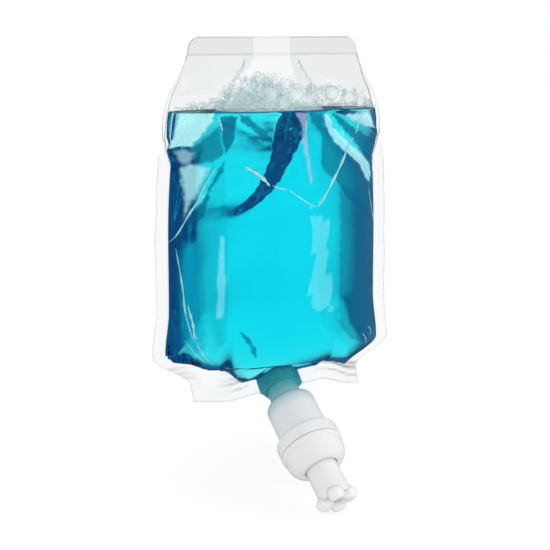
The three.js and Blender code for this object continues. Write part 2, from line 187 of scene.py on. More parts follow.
# %% Curves and meshes from arrays
def smooth_curve(points):
    """Cubic through a few [place, value] points. Each inner slope is the harmonic mean of its neighbours',
    and slopes are level at peaks and at the ends, so the curve stays between its points."""
    places, values = np.array(points, float).T
    slope = np.diff(values) / np.diff(places)
    tangent = np.zeros(len(places))
    product = slope[:-1] * slope[1:]
    rising = product > 0
    tangent[1:-1][rising] = 2 * product[rising] / (slope[:-1] + slope[1:])[rising]

    def curve(at):
        at = np.clip(at, places[0], places[-1])
        i = np.clip(np.searchsorted(places, at, side="right") - 1, 0, len(places) - 2)
        width = places[i + 1] - places[i]
        t = (at - places[i]) / width
        level = values[i] + t * t * (3 - 2 * t) * (values[i + 1] - values[i])
        return level + width * (t * (1 - t) ** 2 * tangent[i] - t * t * (1 - t) * tangent[i + 1])

    return curve


def smoothstep(value, low, high):
    """0 below low, 1 above high, and 3tt - 2ttt between them."""
    t = np.clip((value - low) / (high - low), 0, 1)
    return t * t * (3 - 2 * t)


def grid_faces(rows, columns, flip=False, closed=False):
    """Quads of a grid whose points are numbered row by row; closed joins the last column to the first."""
    steps = columns if closed else columns - 1
    r, c = np.meshgrid(np.arange(rows - 1), np.arange(steps), indexing="ij")
    here, beside = r * columns + c, r * columns + (c + 1) % columns
    quads = np.stack([here, beside, beside + columns, here + columns], -1).reshape(-1, 4)
    return quads[:, ::-1] if flip else quads


def mesh_piece(name, points, faces, **attributes):
    """A smooth-shaded object at the origin, from points in millimetres and faces as point numbers."""
    mesh = bpy.data.meshes.new(name)
    faces = faces.tolist() if isinstance(faces, np.ndarray) else faces
    mesh.from_pydata((np.asarray(points, float).reshape(-1, 3) * MM).tolist(), [], faces)
    for key, values in attributes.items():
        layer = mesh.attributes.new(key, "FLOAT", "POINT")
        layer.data.foreach_set("value", np.asarray(values, np.float32).ravel())
    mesh.polygons.foreach_set("use_smooth", np.ones(len(mesh.polygons), bool))
    mesh.validate()
    mesh.update()
    piece = bpy.data.objects.new(name, mesh)
    bpy.context.scene.collection.objects.link(piece)
    return piece


def closed_block(name, front, rear):
    """A block between a front and a rear grid, closed at both sides, its bottom and its top."""
    rows, columns = front.shape[:2]
    faces = grid_faces(rows, 2 * columns, closed=True).tolist()
    for row, up in ((0, False), (rows - 1, True)):
        start = row * 2 * columns
        near = start + np.arange(columns - 1)
        far = start + 2 * columns - 1 - np.arange(columns - 1)
        strip = np.stack([near, near + 1, far - 1, far], 1)
        faces += (strip if up else strip[:, ::-1]).tolist()
    return mesh_piece(name, np.concatenate([front, rear[:, ::-1]], 1), faces)


print("helpers ready")

# %% [markdown]
# ## The bag's shape
# The bag is two webs of film, front and back, welded at their side edges, with a fold where each side is
# tucked in under the top seal. Going across from the middle, a web is a bulged front panel, a side facet,
# the tucked part, and the weld. "Rise" is the distance up the film from the bottom seam's edge. The
# driving sizes are near the measured model's, so the new film stays inside its box, but at mid height the
# panels are flatter, a little narrower and a little further left. The places of the lower edge were
# partly measured and cast on to the bag by a helper program, so not all of them are round figures.

# %% Driving sizes of the bag, in mm
FILM = 0.12
SEAM, BEND = 11.0, 11.0
LEAN, SWING, END_LEAN = math.radians(55), math.radians(6.5), math.radians(22)
BAG_RISE, SEAL_RISE, LEVEL_RISE = 227.0, 216.5, 183.0

half_width = smooth_curve([
    [0, 57.5], [11, 57.5], [31, 81], [60, 78], [110, 77.3], [155, 74.5], [167, 71.5], [178, 70.3],
    [191, 67], [203, 61], [216.5, 55.5], [222, 54.5], [225.5, 52], [227, 48.5],
])
weld_width = smooth_curve([[0, 7.5], [150, 7.5], [160, 4], [168, 0.3], [176, -3], [186, -5], [227, -5]])
crease_x = smooth_curve([
    [11, 48], [22, 42], [35, 38], [55, 36.4], [150, 36.4], [168, 39], [178, 42], [190, 49], [203, 53],
    [216.5, 54.5], [222, 53.5], [225.5, 51], [227, 47.5],
])
crease_depth = smooth_curve([
    [11, 0], [16, 9], [22, 16], [35, 23], [60, 26.5], [110, 27], [150, 24], [183, 15.5], [200, 8.5],
    [216.5, 0],
])
bulge = smooth_curve([
    [11, 0], [16, 2], [22, 3.6], [35, 5], [60, 5.5], [110, 5.5], [150, 5.5], [183, 5], [200, 4], [216.5, 0],
])
panel_middle = smooth_curve([[30, 0], [55, -2.7], [150, -2.7], [178, 0]])
fold_depth = smooth_curve([[150, 0], [166, 2.2], [180, 4], [200, 2.4], [216.5, 0]])
tuck_left = smooth_curve([
    [158, 73.2], [161, 66], [164, 57], [170, 46], [177, 41.5], [183, 39.7], [192, 34], [203, 27], [211, 20],
    [216.5, 18.6],
])
tuck_right = smooth_curve([
    [161, 72.5], [166, 70], [170, 62], [176, 48], [182, 36], [190, 25], [203, 19], [216.5, 15.5],
])
lower_edge = smooth_curve([
    [-76, 36], [-67, 27], [-58, 25], [-44, 20.5], [-35, 20], [-19, 11.5], [0, 10], [25, 11], [34, 14.5],
    [52, 13], [69, 15.5], [77, 21],
])
print("bag is", BAG_RISE, "mm from seam to seam edge, soap to", LEVEL_RISE)

# %% [markdown]
# ## Creases and ripples
# A filled film bag is never smooth. Tension makes sharp ridges that run from the corners towards the
# middle, and slack makes dents. Each crease is a short line on the film; its height fades with distance
# from the line and towards its ends. A few long waves at seeded angles add the gentle unevenness that
# breaks up reflections. As with the lower edge, many places of the front creases were measured and cast
# on to the bag by a helper.

# %% Creases and ripples
def line_relief(x, rise, line, height, width, sharp=True):
    """Relief of one crease: height x fall(distance / width), faded at the line's two ends. fall is exp(-d)
    for a sharp ridge and exp(-d squared) for a soft one."""
    points = np.array(line, float)
    steps = np.linalg.norm(np.diff(points, axis=0), axis=1)
    start = np.concatenate([[0], np.cumsum(steps)])
    best = np.full(np.shape(x), 1e9)
    along = np.zeros(np.shape(x))
    for (ax, ay), (bx, by), length, before in zip(points[:-1], points[1:], steps, start[:-1]):
        t = np.clip(((x - ax) * (bx - ax) + (rise - ay) * (by - ay)) / length**2, 0, 1)
        distance = np.hypot(x - ax - t * (bx - ax), rise - ay - t * (by - ay))
        nearer = distance < best
        best = np.where(nearer, distance, best)
        along = np.where(nearer, (before + t * length) / start[-1], along)
    fall = np.exp(-best / width) if sharp else np.exp(-((best / width) ** 2))
    return height * fall * smoothstep(along, -0.02, 0.2) * smoothstep(1 - along, -0.02, 0.2)


def ripples(x, rise, seed, height, shortest, longest, count=9):
    """Sum of sine waves of random direction, length and phase, the same each run."""
    chance = np.random.default_rng(seed)
    total = np.zeros(np.shape(x))
    for _ in range(count):
        angle = chance.uniform(0, np.pi)
        length = chance.uniform(shortest, longest)
        phase = chance.uniform(0, 6.28)
        total = total + np.sin(2 * np.pi * (x * np.cos(angle) + rise * np.sin(angle)) / length + phase)
    return height * total / math.sqrt(count)


LONG_WAVES, SHORT_WAVES = (0.2, 22, 60), (0.03, 5, 11)  # height, shortest and longest length
FRONT_CREASES = [  # places (x, rise) along the line, height, width, sharp or soft
    ([(-30, 153), (-12.6, 141.6), (2, 133), (15.6, 126)], 0.7, 1.8, True),
    ([(53, 176), (35.5, 151), (15.6, 126)], 0.9, 1.8, True),
    ([(-41, 158), (-51, 140.5), (-60.2, 121), (-69.5, 104)], 1.6, 2.2, True),
    ([(-65.6, 100), (-63, 75), (-59.9, 50), (-57, 42)], 1.2, 2.2, True),
    ([(-62, 54), (-50, 26)], 1.2, 2.0, True),
    ([(-34, 52), (-28, 46), (-22, 40), (-20, 31)], -1.3, 1.6, True),
    ([(-1, 34), (7.9, 39.3), (15, 47.5)], 0.7, 1.8, True),
    ([(27, 186), (33, 168), (46, 157), (61, 146), (66, 133)], -2.2, 5.5, False),
    ([(-40, 182), (-29, 174), (-16, 168)], -1.4, 2.6, False),
]
BACK_CREASES = [
    ([(36, 178), (46, 160), (58, 142)], -2.0, 5.0, False),
    ([(-44, 150), (-52, 128), (-60, 106)], -1.6, 3.0, False),
    ([(44, 60), (50, 40), (58, 28)], 1.6, 3.0, False),
]
fold_middle = smooth_curve([
    [96, -26], [112, -15.5], [121, -8], [132, 1.2], [142, 6], [152, 10.8], [162, 13.3], [172, 14.2],
    [180, 16.5], [200, 17],
])
fold_reach = smooth_curve([
    [96, 3], [113, 4.5], [121, 6.5], [132, 8], [142, 8.6], [152, 10], [162, 12.5], [172, 13], [181, 9],
    [200, 5],
])


FOLD_CLIMB = 0.88  # mm out for each mm across the step
FOLD_SINK = 0.35  # how far the whole step is lowered, as a share of its reach
FOLD_FADE, FOLD_LOWEST, FOLD_FULL = 16.0, 110.0, 127.0


def back_fold(x, rise):
    """A slanting fold in the rear web, as a step: the web climbs steeply across the fold's width, more gently
    than a wall but enough to turn light back inside the soap, and eases off to nothing on both sides."""
    away = x - fold_middle(rise) + ripples(x, rise, 3, 0.5, 5, 12)
    reach = fold_reach(rise)
    step = FOLD_CLIMB * np.clip(away, -reach, reach) - FOLD_SINK * reach
    fade = np.exp(-np.maximum(np.abs(away) - reach, 0) / FOLD_FADE)
    return step * fade * smoothstep(rise, FOLD_LOWEST, FOLD_FULL)


def relief(x, rise, side):
    """How far the film stands out of its plain shape, fading away at the seams."""
    total = ripples(x, rise, 5 + side, *LONG_WAVES) + ripples(x, rise, 15 + side, *SHORT_WAVES)
    for line, height, width, sharp in FRONT_CREASES if side < 0 else BACK_CREASES:
        total = total + line_relief(x, rise, line, height, width, sharp)
    if side > 0:
        total = total + back_fold(x, rise)
    return total * smoothstep(rise, 14, 30) * smoothstep(SEAL_RISE - rise, 2, 22)


print(len(FRONT_CREASES), "creases in front,", len(BACK_CREASES), "behind")

# %% [markdown]
# ## Placing points on the bag
# `half_section` lists the points across one half of a web at every rise, and `place` bends the lower end
# forward, because the pump holds the bottom seam at a lean.

# %% Sections and placing
FOOT_END = 17.0


def foot_half(x):
    """Half thickness of the neck's boat-shaped foot at a distance from its middle."""
    return np.interp(np.abs(x), [0, 4, 8, 12, 16], [10.7, 10.7, 8, 3.2, 0])


def place(x, depth, rise):
    """Millimetre points of the bag: upright above the bend, and below it curled forward along an arc, most at
    the middle. depth is measured square to the film, towards the back."""
    x, depth, rise = np.broadcast_arrays(x, depth, rise)
    middle = 1 - smoothstep(np.abs(x), 24, 57.5)
    lean = END_LEAN + (LEAN - END_LEAN) * middle
    along = rise + x * math.tan(SWING) * middle * (1 - smoothstep(rise, SEAM, SEAM + 2 * BEND))
    top = SEAM + BEND
    top_y = SEAM * math.sin(LEAN) + BEND / LEAN * (1 - math.cos(LEAN))
    top_z = SEAM * math.cos(LEAN) + BEND / LEAN * math.sin(LEAN)
    turned = lean * np.clip((top - along) / BEND, 0, 1)
    seam = np.maximum(SEAM - along, 0)
    above = np.maximum(along - top, 0)
    y = top_y - BEND / lean * (1 - np.cos(turned)) - seam * np.sin(turned)
    z = top_z + above - BEND / lean * np.sin(turned) - seam * np.cos(turned)
    return np.stack([x, y + depth * np.cos(turned), z - depth * np.sin(turned)], -1)


PANEL_STEPS, FACET_STEPS, TUCK_STEPS, WELD_STEPS = 44, 26, 18, 5
FLAT = 0.2  # from the mid plane to each web where the bag is flat
SOAP_GAP = 0.15
FACET_SWELL = 0.12  # outward swell of a side facet, as a share of its depth
CREASE_SOFTNESS = 0.5
BOTTOM_ROUND = 24.0  # depth squared gained per mm above the lower edge


def fold_x(rise):
    """Distance of the side fold from the middle."""
    return half_width(rise) - np.maximum(weld_width(rise), 0.3)


def corner_x(hand, rise):
    """Distance of the crease from the middle: the panels sit a little to the left at mid height."""
    return np.minimum(crease_x(rise) + hand * panel_middle(rise), fold_x(rise) - 0.5)


def web_depth(x, rise, side):
    """Distance of a web from the bag's mid plane: the lesser of a bulged panel and a side facet, with the
    crease between them rounded off, plus relief. Near the lower edge it is no more than a round bottom, and
    round the neck no less than its foot."""
    across = np.abs(x)
    fold = fold_x(rise)
    corner = corner_x(np.sign(x), rise)
    edge, deep = fold_depth(rise), crease_depth(rise)
    panel = deep + bulge(rise) * (1 - ((x - panel_middle(rise)) / crease_x(rise)) ** 2)
    t = (across - corner) / (fold - corner)
    facet = edge + (deep - edge) * (1 - t + FACET_SWELL * np.sin(np.pi * np.clip(t, 0, 1)))
    least = -CREASE_SOFTNESS * np.logaddexp(-panel / CREASE_SOFTNESS, -facet / CREASE_SOFTNESS)
    depth = least + relief(x, rise, side) * smoothstep(fold - across, 0, 8)
    depth = np.minimum(depth, np.sqrt(BOTTOM_ROUND * np.maximum(rise - lower_edge(x), 0)))
    foot = (foot_half(x) + 0.35) * (1 - smoothstep(rise, SEAM, SEAM + BEND))
    return np.maximum(np.where(across < FOOT_END, np.maximum(depth, foot), depth), 0)


def half_section(rise, hand, side, fill=False):
    """x and depth of one half of a web, from the middle out to the tuck's tip. hand is 1 at the right and -1
    at the left. With fill, it is drawn in, and the folds stop short, as what fills the bag does."""
    rise = rise[:, None]
    tuck, lowest = (tuck_right, 161.0) if hand > 0 else (tuck_left, 158.0)
    fold = fold_x(rise)
    tip = np.where(rise < lowest, fold, np.minimum(tuck(rise), fold))
    corner = corner_x(hand, rise)
    edge = fold_depth(rise)
    tucked = smoothstep(fold - tip, 0, 12)
    last = fold - (0.8 + 2.7 * tucked) if fill else fold
    end = np.minimum(tip - 0.8, last) if fill else tip
    x = np.concatenate([
        corner * np.linspace(0, 1, PANEL_STEPS + 1)[None, :],
        corner + (last - corner) * np.linspace(0, 1, FACET_STEPS + 1)[None, 1:],
    ], 1)
    depth = web_depth(hand * x, rise, side)
    t = np.linspace(0, 1, TUCK_STEPS + 1)[None, 1:]
    tuck_x = last + (end - last) * t
    pocket = edge + (crease_depth(rise) - edge) * np.clip((fold - tuck_x) / (fold - corner), 0, 1)
    tuck_depth = np.maximum(edge * (1 - t), pocket * 0.5 * (1 - t**2)) * tucked
    if fill:
        depth = np.maximum(depth - SOAP_GAP, 0)
        tuck_depth = (tuck_depth + 0.5 * tucked) * (1 - smoothstep(t, 0.9, 1))
        depth[:, -1:] = depth[:, -1:] * 0.5 * (1 + tucked)
    else:
        depth, tuck_depth = depth + FLAT, tuck_depth + FLAT
    return np.concatenate([x, tuck_x], 1), np.concatenate([depth, tuck_depth], 1)


def both_halves(left, right):
    """One row from left tip to right tip, from two rows that each start at the middle."""
    return np.concatenate([left[:, :0:-1], right], 1)


rises = np.concatenate([
    np.linspace(0, 11, 9)[:-1], np.linspace(11, 34, 24)[:-1], np.linspace(34, 158, 108)[:-1],
    np.linspace(158, 216.5, 60)[:-1], np.linspace(216.5, 227, 10),
])
print(len(rises), "rows of film")

# %% [markdown]
# ## The film
# Each web is one sheet with the thickness of laminate film, about a tenth of a millimetre. The weld at
# each side runs outwards along the body and inwards where the side is tucked. Where film is welded it is
# a little cloudy, so each point also carries how welded it is, for the material to read.

# %% Front and back film
def seam_wrinkles(x, rise):
    """Strength of the painted shade streaks by the bottom seam, which stand in for the shade of wrinkles there: lines
    along it that wander, fading upwards and towards the neck."""
    wander = 2.2 * np.sin(x / 13 + 0.6) + 0.9 * np.sin(x / 5.1)
    lines = 0
    for middle, width, strength in ((13.5, 0.9, 1.0), (16.5, 1.4, 0.7), (8.5, 0.7, 0.5), (20.5, 1.0, 0.5)):
        lines = np.maximum(lines, strength * np.exp(-(((rise - middle - wander) / width) ** 2)))
    patchy = 0.5 + 0.5 * np.sin(x / 6.3 + 1.3 * np.sin(x / 17))
    fade = 1 - smoothstep(rise, lower_edge(x), lower_edge(x) + 4)
    return lines * patchy * smoothstep(np.abs(x), 19, 26) * fade


CUT_MARK, SEAL_MARK = 0.25, 0.12  # how strongly cut edges and the top seal's lower line show as painted grey lines of shade


def film_web(name, side):
    """Grid of one web from left weld to right weld. Each point also says how welded it is, and how strongly it is
    marked with painted shade: grey lines at a cut edge, along the top seal and in streaks by the bottom seam."""
    halves = []
    for hand in (-1, 1):
        x, depth = half_section(rises, hand, side)
        width = weld_width(rises)[:, None]
        t = np.linspace(0, 1, WELD_STEPS + 1)[None, 1:]
        wave = 0.25 * np.sin(rises[:, None] / 11 + hand) + 0.2 * np.sin(rises[:, None] / 4.7 + 2 * hand)
        strip = x[:, -1:] + (width + (width > 5) * wave) * t
        x = np.concatenate([x, strip], 1)
        depth = np.concatenate([depth, FLAT + 0 * strip], 1)
        weld = np.zeros_like(x)
        weld[:, -WELD_STEPS - 1:] = 1
        # Painted shade: the outermost column of each cut side edge is marked to show as a grey line.
        mark = np.zeros_like(x)
        mark[:, -1:] = CUT_MARK * (width > 5)
        halves.append((hand * x, depth, weld, mark))
    x, depth, weld, mark = (both_halves(left, right) for left, right in zip(*halves))
    rise = rises[:, None]
    weld = np.maximum(weld, smoothstep(rise, SEAL_RISE - 0.3, SEAL_RISE + 0.3))
    weld = np.maximum(weld, 1 - smoothstep(rise, SEAM - 0.3, SEAM + 0.3))
    # Painted shade: the cut top and bottom edges, the top seal's lower line and streaks by the bottom seam are marked
    # to show as grey lines.
    mark = np.maximum(mark, CUT_MARK * np.isin(rise, (rises[0], rises[-1])))
    mark = np.maximum(mark, SEAL_MARK * np.exp(-(((rise - SEAL_RISE) / 0.4) ** 2)))
    mark = np.maximum(mark, seam_wrinkles(x, rise))
    curl = 1.6 * np.sin(x / 9 + 2) * np.sin(x / 23) * (1 - smoothstep(rise, 2, SEAM + 6))
    curl = curl * smoothstep(np.abs(x), FOOT_END + 3, FOOT_END + 15)
    sway = 0.5 * np.sin(x / 17 + 1) * smoothstep(rise, SEAL_RISE - 10, BAG_RISE)
    points = place(x, side * depth + sway + curl, rise)
    rows, columns = x.shape
    web = mesh_piece(name, points, grid_faces(rows, columns, flip=side > 0), weld=weld, mark=mark)
    solid = web.modifiers.new("thickness", "SOLIDIFY")
    solid.thickness = FILM * MM
    solid.offset = -1
    print(name, rows, "x", columns, "points")
    return web


front_web = film_web("front_web", -1)
back_web = film_web("back_web", 1)
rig.replaces(front_web, "front_film")
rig.replaces(back_web, "back_film")
for web in (front_web, back_web):
    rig.ride(web, "pack")
    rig.slot(web, "film")

# %% [markdown]
# ## The soap
# The soap fills the bag up to its level, so it takes the film's own shape drawn in a fraction of a
# millimetre. Each row is a closed loop: round the front web and back along the rear one. The top is
# capped flat, as a liquid's surface is.

# %% Soap
def soap_side(rows, side):
    """Points of the soap against one web, and where it has no thickness."""
    chains = [half_section(rows, hand, side, fill=True) for hand in (-1, 1)]
    x = both_halves(-chains[0][0], chains[1][0])
    depth = both_halves(chains[0][1], chains[1][1])
    return place(x, side * depth, rows[:, None]), depth < 1e-6


def soap_body():
    """Loops of the filled bag from just above the foot to the level, with flat caps. Where the webs lie flat
    on each other the faces are left out, and the front and back loops meet along the soap's edge."""
    rows = np.concatenate([
        np.linspace(SEAM + 0.6, 36, 44)[:-1], np.linspace(36, 158, 108)[:-1],
        np.linspace(158, LEVEL_RISE, 24),
    ])
    (front, front_thin), (back, back_thin) = soap_side(rows, -1), soap_side(rows, 1)
    count, n = front.shape[:2]
    points = np.concatenate([front, back[:, -2:0:-1]], 1)
    thin = front_thin & back_thin
    thin = np.concatenate([thin, thin[:, -2:0:-1]], 1)
    ring = points.shape[1]
    points[-1, :, 2] = place(0.0, 0.0, LEVEL_RISE)[2]
    walls = grid_faces(count, ring, closed=True)
    faces = walls[~thin.ravel()[walls].all(1)].tolist()
    for row, up in ((0, False), (count - 1, True)):
        faces += cap(row * ring, n, ring, up)
    soap = mesh_piece("soap_body", points, faces)
    merge = soap.modifiers.new("merge", "WELD")
    merge.merge_threshold = 0.00002
    print("soap rows", count, "ring", ring)
    return soap


def cap(start, n, ring, up):
    """Faces across one loop: front panel to back panel, then each pocket between its facet and its tuck."""
    front = start + np.arange(n)
    back = np.concatenate([[start], start + ring - np.arange(1, n - 1), [start + n - 1]])
    left, right = TUCK_STEPS + FACET_STEPS, n - 1 - TUCK_STEPS - FACET_STEPS
    i, k = np.arange(1, TUCK_STEPS), np.arange(TUCK_STEPS, FACET_STEPS)
    across = np.arange(left, right)
    faces = np.stack([front[across], front[across + 1], back[across + 1], back[across]], 1).tolist()
    for chain in (front, back):
        for fold, step in ((TUCK_STEPS, 1), (n - 1 - TUCK_STEPS, -1)):
            tuck = chain[fold - step * np.arange(TUCK_STEPS + 1)]
            facet = chain[fold + step * np.arange(FACET_STEPS + 1)]
            pocket = np.stack([tuck[i], tuck[i + 1], facet[i + 1], facet[i]], 1).tolist()
            pocket.append([int(chain[fold]), int(tuck[1]), int(facet[1])])
            pocket += np.stack([np.full(k.size, tuck[-1]), facet[k + 1], facet[k]], 1).tolist()
            faces += pocket if (step > 0) == (chain is front) else [face[::-1] for face in pocket]
    faces.append([int(front[left]), int(back[left]), int(front[0])])
    faces.append([int(front[right]), int(front[n - 1]), int(back[right])])
    return faces if up else [face[::-1] for face in faces]


soap = soap_body()
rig.replaces(soap, "liquid_soap")
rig.ride(soap, "pack")
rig.slot(soap, "soap")

# %% [markdown]
# ## Crease ridges
# Where film is folded sharply its layers whiten and a thin ridge stands up. Each ridge is a slim diamond
# section carried along its line on the front web, pinched to nothing at both ends. Many of the places
# along the lines were measured and cast on to the bag by a helper.
# The ridges' bright blue-green colour is a painted highlight: it stands in for the light that a crease sends through
# the soap.

# %% Crease ridges
RIDGE_WIDTH = 1.4
RIDGES = [  # places (x, rise) along the line, width
    ([(-28.5, 152), (-25, 149.8), (-21, 147.2), (-16.6, 143.3), (-13.9, 140)], 0.9),
    ([(-12.5, 140.6), (-9, 138.8), (-3, 137.6)], 0.35),
    ([(-2, 137.4), (3.8, 133.3), (9, 129.6), (14.5, 126.6), (17, 126.3)], 0.3),
    ([(16.4, 126), (19.6, 128), (23.1, 132.9), (29.1, 141.6), (35.5, 151), (41.3, 159.5), (46, 166)], 0.75),
    ([(47, 168), (52.5, 177.1), (55, 181.5)], 0.3),
    ([(-40.9, 181), (-40, 176), (-39.3, 172)], 0.35),
    ([(-45.2, 151), (-50.9, 140.6), (-55.3, 130.2), (-60.2, 120.8), (-65.4, 109.2), (-69.3, 104)], 0.35),
    ([(-65.8, 101), (-64.3, 87.6), (-63, 75.2), (-62.2, 62.6), (-59.9, 50.1), (-58.6, 45)], 0.3),
    ([(-60.6, 66), (-58.2, 53.5), (-57.9, 44)], 0.5),
    ([(-57.5, 44), (-52, 34), (-46, 27)], 0.25),
    ([(-63, 44), (-56, 34), (-49.5, 27.5)], 0.22),
    ([(-36.5, 24), (-28, 20.5), (-20, 17.5)], 0.4),
    ([(61.4, 134), (65, 120), (69, 106)], 0.25),
    ([(58, 148), (62, 142), (66.5, 138)], 0.22),
    ([(56, 38), (60, 33), (61.5, 28)], 0.22),
    ([(62, 41), (65.5, 37), (64, 33)], 0.22),
]


def resampled(line, step=0.8):
    """Evenly spaced points on a smooth curve through the line's points (Catmull-Rom)."""
    points = np.array(line, float)
    points = np.concatenate([[2 * points[0] - points[1]], points, [2 * points[-1] - points[-2]]])
    t = np.linspace(0, 1, 12, endpoint=False)[None, :, None]
    a, b, c, d = (points[i:len(points) - 3 + i, None, :] for i in range(4))
    curve = 0.5 * (2 * b + (c - a) * t + (2 * a - 5 * b + 4 * c - d) * t**2 + (3 * b - a - 3 * c + d) * t**3)
    curve = np.concatenate([curve.reshape(-1, 2), points[-2:-1]])
    length = np.concatenate([[0], np.cumsum(np.linalg.norm(np.diff(curve, axis=0), axis=1))])
    at = np.linspace(0, length[-1], max(int(length[-1] / step), 6))
    return np.stack([np.interp(at, length, curve[:, 0]), np.interp(at, length, curve[:, 1])], 1)


def crease_ridges():
    """All ridges as one mesh. A ridge's section has a left edge, a crest, a right edge and a foot."""
    points, faces, base = [], [], 0
    for line, wide in RIDGES:
        spine = resampled(line)
        along = np.gradient(spine, axis=0)
        normal = np.stack([-along[:, 1], along[:, 0]], 1) / np.linalg.norm(along, axis=1)[:, None]
        t = np.linspace(0, 1, len(spine))
        wander = 1 + 0.35 * np.sin(t * 23 + wide * 40)
        half = RIDGE_WIDTH * wide * np.sqrt(np.sin(np.pi * np.clip(t, 0.004, 0.996))) * wander
        spot = spine[:, None, :] + normal[:, None, :] * (half[:, None] * np.array([-1, 0, 1, 0]))[:, :, None]
        lift = half[:, None] * np.array([0, 0.45, 0, 0]) + np.array([0.04, 0.06, 0.04, 0.02])
        depth = web_depth(spot[..., 0], spot[..., 1], -1) + FLAT + lift
        points.append(place(spot[..., 0], -depth, spot[..., 1]).reshape(-1, 3))
        wall = grid_faces(len(spine), 4, closed=True) + base
        last = base + 4 * (len(spine) - 1)
        faces += wall.tolist() + [list(range(base, base + 4))[::-1], list(range(last, last + 4))]
        base += 4 * len(spine)
    print(len(RIDGES), "ridges")
    return mesh_piece("crease_ridges", np.concatenate(points), faces)


ridges = crease_ridges()
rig.ride(ridges, "pack")
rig.slot(ridges, "film")

# %% [markdown]
# ## Painted light and shade under the film
# Where the tucked folds press the webs together the soap is thin and the bag looks pale there; beside them, where
# layers of film double over, light is trapped and the bag looks dark. Each patch is a skin just inside the front web
# that paints this on: pale and lavender ones are painted light, blue-green and dark ones painted shade, and all glow a
# little in their own colour, which is painted light too. How much it covers falls from its middle to a slightly ragged
# edge, and each point carries that cover and the patch's tone for the material to read.
# The outlines were measured point by point and cast on to the bag by a helper, and many are as it gave them.

# %% Patches
PATCH_GRID, PATCH_GAP, PATCH_DROP = 0.55, 0.1, 0.01
# Each is an outline (x, rise), a strength, a tone (0 pale and 0.5 lavender, both painted light; 0.75 blue-green and 1
# dark, both painted shade) and the softness of its edge.
PATCHES = [
    ([(-62.5, 183.5), (-42.9, 183.5), (-44.2, 178), (-51.5, 168.9), (-57.1, 163), (-68.6, 161.9),
      (-66, 172)], 0.8, 0.0, 1.2),
    ([(25.2, 181.5), (30, 181), (31.5, 174), (38, 167), (46, 161), (55, 155.5), (63, 149), (66, 141),
      (63.5, 135), (57.5, 139.6), (53, 147.5), (44.5, 153.6), (36.8, 158.8), (30, 165.3), (25.8, 173)],
      0.62, 0.0, 1.2),
    ([(36, 181), (60, 181), (65.5, 170.5), (62, 170), (54.8, 172), (45, 176)], 0.7, 0.05, 1.6),
    ([(5.8, 182.6), (14, 182.3), (13.6, 175), (12, 168), (12.4, 158), (14.2, 142), (12.9, 138.5), (11, 147),
      (8.8, 160), (8.1, 166.6), (9.4, 173)], 0.62, 0.5, 1.0),
    ([(-63.6, 150), (-58, 154.5), (-46, 152), (-52.5, 138), (-58, 127), (-63, 114), (-62, 130)], 0.6, 0.0,
      3.0),
    ([(-67.5, 161), (-60, 162.5), (-53.5, 160), (-57, 153), (-62, 150.5)], 0.5, 0.2, 2.5),
    ([(-41.3, 181.5), (-29.3, 181.5), (-31.8, 171.5), (-33.4, 165.6), (-39, 157.8), (-40.4, 167)], 0.9, 1.0,
      1.4),
    ([(-40.5, 176.7), (-47.5, 171.4), (-56.6, 163), (-54.6, 158.1), (-55.7, 152), (-44.9, 154.7),
      (-39, 158.4), (-40, 171)], 0.72, 1.0, 1.8),
    ([(-39, 157.2), (-39.8, 148.7), (-46.6, 138.9), (-50.9, 121.7), (-59.9, 114.9), (-65, 104),
      (-53.8, 129.7), (-43.9, 151)], 0.82, 1.0, 1.8),
    ([(30.3, 181.7), (35.7, 180.8), (45.8, 172.8), (67.2, 162.1), (69, 129.4), (60.8, 137.4), (65.5, 148),
      (57.5, 152), (47, 162.5), (39, 169.5), (32.8, 177.3)], 0.85, 1.0, 1.8),
    ([(14.8, 181.8), (24.5, 182), (24.8, 174), (34, 161.5), (46, 152), (55, 143), (60, 133), (66, 126),
      (58.5, 115), (38.4, 129), (31.7, 139.9), (22, 145.8), (19.3, 153.4), (21.3, 166.5), (19.8, 171.4),
      (14.7, 176.3)], 0.72, 1.0, 2.2),
    ([(-29, 182), (-23.4, 182), (-18.7, 176), (-12, 172.4), (-12.6, 167), (-17.8, 168.4), (-23.5, 174),
      (-28.9, 177.7)], 0.8, 1.0, 1.4),
    ([(-32.7, 165.2), (-28, 168.5), (-21.8, 169.3), (-15, 165.4), (-15, 162), (-21.2, 163.2), (-27, 166)],
      0.4, 1.0, 1.2),
    ([(-33.5, 51.6), (-30, 50.2), (-24.6, 44.8), (-20.2, 37), (-19, 30.4), (-22.3, 32.2), (-26, 41),
      (-30.2, 45.6)], 0.75, 1.0, 1.2),
    ([(33.9, 139), (45, 132), (60, 122), (68, 110), (69.5, 60), (72, 38), (60, 30), (46, 36), (36, 46),
      (33.9, 60)], 0.5, 1.0, 0.9),
    ([(-39.3, 156), (-39.3, 60), (-40, 44), (-45, 36), (-62, 36), (-68, 50), (-66, 90), (-63, 104),
      (-53, 128), (-44, 148)], 0.12, 1.0, 0.8),
    ([(-64, 106), (-52, 112), (-50, 70), (-50, 38), (-57, 30), (-66, 40), (-67, 70), (-66.5, 95)], 0.75,
      0.75, 6.0),
]


def inside_by(x, rise, outline):
    """Distance to the outline, positive inside. A point is inside where a ray to its right crosses the
    outline an odd number of times."""
    a = np.array(outline, float)
    b = np.roll(a, -1, 0)
    px, py = x[..., None], rise[..., None]
    edge = b - a
    t = np.clip(((px - a[:, 0]) * edge[:, 0] + (py - a[:, 1]) * edge[:, 1]) / (edge**2).sum(1), 0, 1)
    distance = np.hypot(px - a[:, 0] - t * edge[:, 0], py - a[:, 1] - t * edge[:, 1]).min(-1)
    rising = np.where(edge[:, 1] == 0, 1e-9, edge[:, 1])
    crossing = a[:, 0] + edge[:, 0] * (py - a[:, 1]) / rising
    crosses = ((a[:, 1] > py) != (b[:, 1] > py)) & (px < crossing)
    return np.where(crosses.sum(-1) % 2 == 1, distance, -distance)


